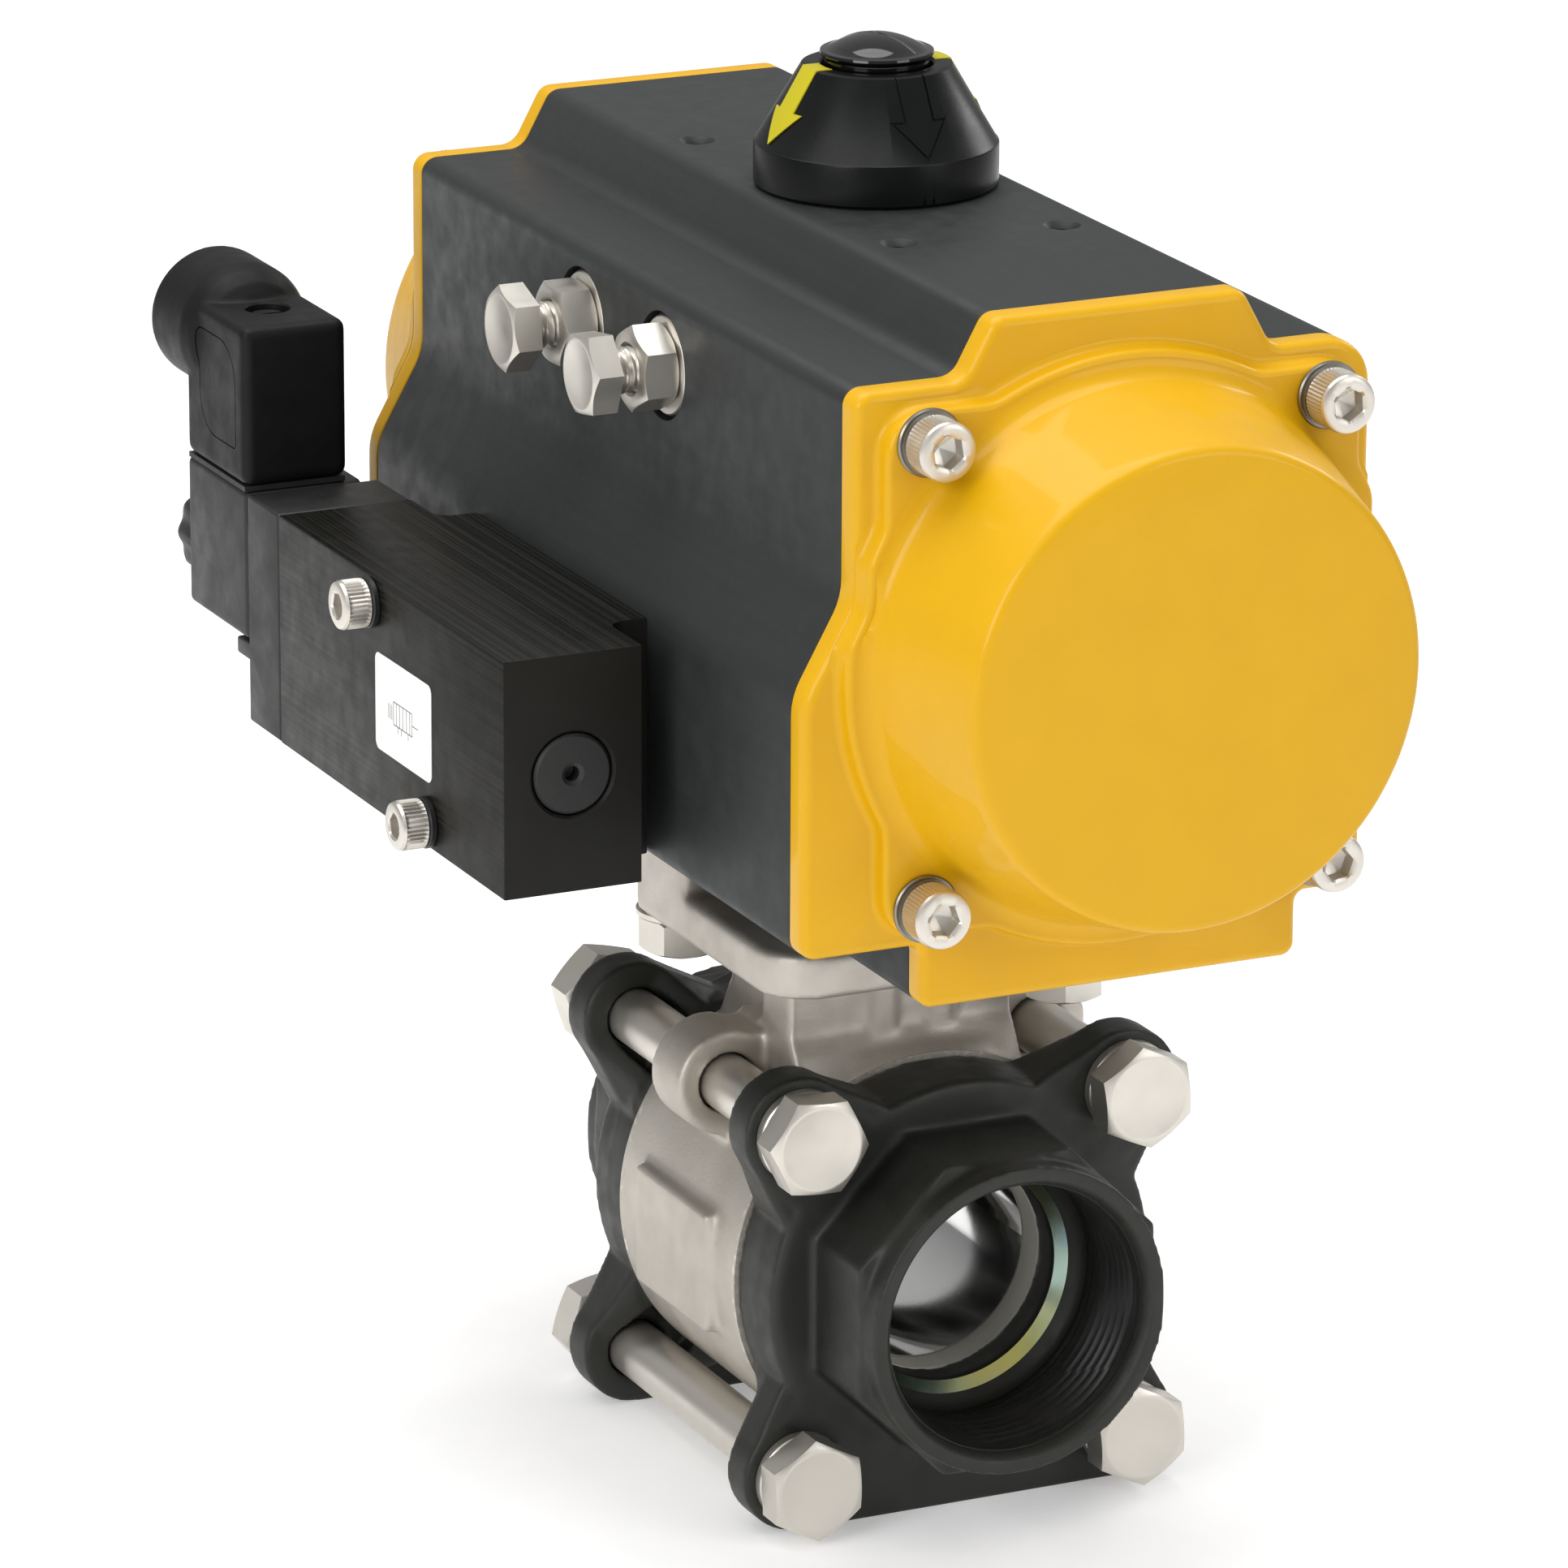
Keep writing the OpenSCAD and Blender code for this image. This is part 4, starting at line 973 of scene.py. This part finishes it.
def connector():
    """Moulded plug: a soft-edged box that flows into its round conduit hub."""
    left, right, low, top = PLUG_X - 9.75, PLUG_X + 9.75, PLUG_LOW.z, HUB_Z + 6.5
    housing = rounded_box("plug_housing", (left, 67.6, low), (right, 95, top), 1.7, 4)
    profile = [(5.5, 84.8), (7.4, 85.3), (9.6, 86.8), (11.2, 89.0)]
    profile += [(12, 91.8), (12, 105.4), (11.4, 106)]
    axis, bore = place((PLUG_X, 0, HUB_Z), (0, 1, 0)), 9.3
    join(housing, turned("hub", profile, axis, 96))
    cast(housing, 0.4, 10)
    cut(housing, cylinder(bore, (PLUG_X, 90, HUB_Z), (PLUG_X, 108, HUB_Z), 96))
    hollow = (PLUG_X - 7.5, 85, low - 3), (PLUG_X + 7.5, 92.5, top - 2)
    cut(housing, rounded_box("hollow", *hollow, 1, 2))
    seat = (PLUG_X, PLUG_SCREW_Y, top)
    recess = [(4.3, 2), (4.3, 0.2), (3.9, -0.3), (3.8, -3)]
    cut(housing, turned("recess", recess, place(seat), 64))
    cut(housing, cylinder(1.6, (PLUG_X, PLUG_SCREW_Y, low - 2), seat, 24))
    path = rounded([(71.5, low + 6, 1), (88, low + 6, 7), (88, top - 4, 1), (71.5, top - 4, 7)])
    cut(housing, groove(path, 0.12, left - 1, left + 0.2, lambda y, z, x: (x, y, z)))
    shown(housing, "black_plastic", MOULDED, "connector_housing")
    thread = internal_thread("hub_thread", bore, 1.8, 93, 105.6, 0.5, axis, 112)
    shown(thread, "black_plastic", PLASTIC)


def internal_thread(name, r, pitch, low, high, depth, where, count):
    """A thin sleeve with a thread cut in its bore, which fades out at both ends."""
    per_turn, skin = 6, 0.05
    rows = round((high - low) / pitch * per_turn)
    rings = [circle(r + skin, low, count)]
    for k in range(rows + 1):
        level = low + (high - low) * k / rows
        fade = min(1.0, 3 * k / rows, 6 * (rows - k) / rows + 0.1)
        ring = []
        for i in range(count):
            phase = (level / pitch - i / count) % 1.0
            reach = r - skin - depth * (1 - abs(2 * phase - 1)) * fade
            ring.append(polar(reach, TAU * i / count, level))
        rings.append(ring)
    rings.append(circle(r + skin, high, count))
    return Shape().rings(rings, where, loop=True).build(name)


def return_spring(name, node, turns, wire):
    """A coil spring of round wire that fills its CAD node's box."""
    low, high = box(node)
    middle = (low + high) / 2
    length = high.y - low.y
    r = (high.x - low.x) / 2 - wire
    per_turn, sides = 32, 10
    rings = []
    steps = turns * per_turn
    for k in range(steps + 1):
        angle = TAU * k / per_turn
        out = Vector((math.cos(angle), 0, math.sin(angle)))
        y = low.y + wire + (length - 2 * wire) * k / steps
        centre = Vector((middle.x, y, middle.z)) + out * r
        ring = []
        for a in angles(sides):
            ring.append(centre + out * (wire * math.cos(a)) + Vector((0, wire * math.sin(a), 0)))
        rings.append(ring)
    spring = shown(Shape().rings(rings).build(name), "spring_steel", SPRING, node)
    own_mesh(spring)


def block_label():
    """White film with rounded corners and a plain flow symbol of thin lines."""
    low, high = box("block_label")
    middle_y, middle_z = (low.y + high.y) / 2, (low.z + high.z) / 2
    w, h = (high.y - low.y) / 2, (high.z - low.z) / 2
    thick, corner, line = 0.15, 1.5, 0.16

    def where(u, v, height):
        return (low.x + thick - height, middle_y + u, middle_z + v)

    outline = rounded([(-w, -h, corner), (w, -h, corner), (w, h, corner), (-w, h, corner)])
    film = slab(Shape(), outline, 0, thick, 0.02, 0.04, where, 2).build("label")
    shown(film, "label_film", FILM, "block_label")
    ink = Shape()

    def bar(u0, v0, u1, v1):
        corners = ((u0, v0), (u1, v0), (u1, v1), (u0, v1))
        ink.rings([[where(u, v, level) for u, v in corners] for level in (0.14, 0.17)])

    for u in (-4.0, 0.0, 4.0):
        bar(u, -2.5, u + line, 1.5)
    for v in (-2.5, 1.5):
        bar(-4.0, v, 4.0 + line, v + line)
    for u in (-3.0, -1.6, 1.4, 2.8):
        bar(u, -2.5, u + line, 1.5)
    for u in (4.7, 5.4, 6.1):
        bar(u, -1.8, u + line, 0.8)
    bar(-6.5, -0.6, -4.0, -0.6 + line)
    for u in (-2.3, 0.6, 2.1):
        bar(u, -3.6, u + line, -2.5)
    shown(ink.build("label_symbol"), "label_film", INK)


# ---------- ball valve ----------


def pipe_axis(side):
    return place((0, 0, PIPE_Z), (0, side, 0))


def flare(side):
    """The casting's slope from the foot of its neck down to the machined rim."""
    half, steps, under = 24, 24, 5
    rings = []
    for k in range(steps + 1):
        x = -half + 2 * half * k / steps
        rim = PIPE_Z + math.sqrt(RIM_R**2 - x * x)
        section = [(-16, 83), (-18.4, 81.5), (-20.4, max(rim + 1.2, 78.6)), (-RIM_Y, rim)]
        section += [(-RIM_Y, rim - under), (-10, rim - under), (-10, 83)]
        rings.append([(side * x, side * y, z) for y, z in section])
    return Shape().rings(rings).build("flare")


def waist(side):
    """What the neck lacks behind the arm of an ear: open space down to the barrel."""
    low, high = PIPE_Z + 20, FOOT_Z - 17.5
    gap = rounded_box("waist", (-30, 3.6, low), (-18.5, 28, high), 1.0, 2)
    above = rounded_box("above", (-30, -5.5, PIPE_Z + TIE + 9.4), (-18.5, 12, high), 1.0, 2)
    join(gap, above)
    cut(gap, cylinder(36.9, (0, -60, PIPE_Z), (0, 60, PIPE_Z), 128))
    if side > 0:
        gap.data.transform(Matrix.Rotation(math.pi, 4, "Z"))
    return gap


def valve_body():
    """Investment casting: the CAD solid with fillets, slopes and a machined rim at each end."""
    body = cad_copy("valve_body", "valve_casting")
    for side in (-1, 1):
        join(body, flare(side))
    for side in (-1, 1):
        cut(body, waist(side))
    cast(body, 0.72, 9)
    shown(body, "cast_stainless", CAST, "valve_body", sharp=60)
    rims, rim = Shape(), [(36.0, 22.6), (36.95, 22.9), (36.95, 23.95), (36.0, 23.95)]
    for side in (-1, 1):
        rims.lathe(rim, pipe_axis(side), 144, True)
    shown(rims.build("casting_rims"), "cast_stainless", CAST)


def lobe_flank(where, angle, lean):
    """A wedge that leads one side of a lobe into an end piece's drum."""
    turn = Matrix.Rotation(math.radians(angle), 4, "Z")
    rings = []
    for tip, h in ((37.5, 25.0), (46.8, 29.8), (46.8, 37.1)):
        wedge = [(tip, 9.4), (34.4, 13.4), (31, 14.2), (31, 5.9), (tip, 5.9)]
        rings.append([(x, y * lean, h) for x, y in wedge])
    return Shape().rings(rings, where @ turn).build("flank")


def pipe_end(side, name, node):
    """End piece: the CAD solid with a softened drum and lobes, its pipe thread and plated step."""
    piece = cad_copy(node, name)
    drum = [(27, 29), (36.3, 29), (36.0, 36.6), (35.4, 37.4), (27, 37.4)]
    where = pipe_axis(side)
    join(piece, turned("drum", drum, where, 144, True))
    for angle in range(45, 360, 90):
        for lean in (-1, 1):
            join(piece, lobe_flank(where, angle, lean))
    cast(piece, 0.6, 6)
    shown(piece, "black_phosphate", BLACK, node, sharp=60)
    low, high, depth = MOUTH_Y - 22.6, MOUTH_Y - 2.2, 0.75
    thread = (PIPE_THREAD_R, PIPE_PITCH, low, high, depth, where, 144)
    thread = internal_thread(name + "_thread", *thread)
    shown(thread, "black_phosphate", THREAD)
    step = [(19.75, 33.2), (21.6, 34.75), (21.45, 35.0), (19.55, 33.5)]
    band = turned(name + "_step", step, where, 96, True)
    shown(band, "black_phosphate", PLATED)


# ---------- studio ----------


def studio():
    """Pale floor, a sky that brightens upwards and four square area lights."""
    half = 9000
    corners = ((-half, -half), (half, -half), (half, half), (-half, half))
    floor = Shape().rings([[(x, y, h) for x, y in corners] for h in (-20, 0)]).build("floor")
    pale = Finish("pale_floor", (0.86, 0.86, 0.86, 1.0), 0.7)
    pale.set(pale.shader, "Emission Color", (1, 1, 1, 1))
    pale.set(pale.shader, "Emission Strength", 0.3)
    floor.data.materials.append(pale.done())
    world = bpy.data.worlds.new("studio")
    bpy.context.scene.world = world
    world.use_nodes = True
    tree = world.node_tree
    add, link, background = tree.nodes.new, tree.links.new, tree.nodes["Background"]
    coords = add("ShaderNodeTexCoord")
    split = add("ShaderNodeSeparateXYZ")
    ramp = add("ShaderNodeValToRGB")
    ramp.color_ramp.elements[0].color = (0.42, 0.42, 0.43, 1)
    ramp.color_ramp.elements[1].color = (1.0, 1.0, 1.0, 1)
    ramp.color_ramp.elements[1].position = 0.8
    link(coords.outputs["Generated"], split.inputs[0])
    link(split.outputs["Z"], ramp.inputs[0])
    link(ramp.outputs[0], background.inputs[0])
    background.inputs[1].default_value = 0.62
    target = Vector((0, 0, 0.13))
    lights = (
        ("overhead", (-0.15, 0.1, 1.3), 1.1, 13),
        ("key_left", (-1.3, -0.75, 0.75), 0.8, 10.5),
        ("front_right", (0.9, -1.5, 0.7), 0.8, 6),
        ("rim_right", (1.4, 0.5, 0.9), 0.5, 5),
    )
    for name, at, size, power in lights:
        lamp = bpy.data.lights.new(name, "AREA")
        lamp.shape = "SQUARE"
        lamp.size = size
        lamp.energy = power
        holder = linked(name, lamp)
        holder.location = at
        holder.rotation_euler = (target - Vector(at)).to_track_quat("-Z", "Y").to_euler()


def camera():
    """Long lens from the front left, looking down a little, as on a catalogue picture."""
    turn, rise, roll = (math.radians(a) for a in (-25.16, 17.35, 0.25))
    level = math.cos(rise)
    back = Vector((math.sin(turn) * level, -math.cos(turn) * level, math.sin(rise)))
    right = Vector((0, 0, 1)).cross(back).normalized()
    up = back.cross(right)
    c, s = math.cos(roll), math.sin(roll)
    right, up = c * right + s * up, c * up - s * right
    data = bpy.data.cameras.new("camera")
    data.sensor_width = 36
    data.lens = 211.8
    data.clip_start = 0.05
    data.clip_end = 50
    holder = linked("camera", data)
    axes = Matrix((right, up, back)).transposed().to_4x4()
    holder.matrix_world = Matrix.Translation((-0.6592, -1.3679, 0.5937)) @ axes
    bpy.context.scene.camera = holder


finish_cad_nodes()
camera()
studio()
actuator_body()
end_cap(-1, "front_cap", "front_end_cap")
end_cap(1, "rear_cap", "rear_end_cap")
end_cap_screws()
travel_stops()
position_indicator()
indicator_button()
pilot_block()
block_plug()
block_screws()
block_label()
return_spring("spool_return_spring", "spool_spring", 3, 0.55)
return_spring("plunger_return_spring", "plunger_spring", 8, 0.28)
pilot_adapter()
solenoid_coil()
coil_nut()
connector()
valve_body()
pipe_end(-1, "front_end_piece", "front_pipe_end")
pipe_end(1, "rear_end_piece", "rear_pipe_end")
tie_bolts()
mounting_studs()

bpy.context.scene.view_settings.view_transform = "Standard"
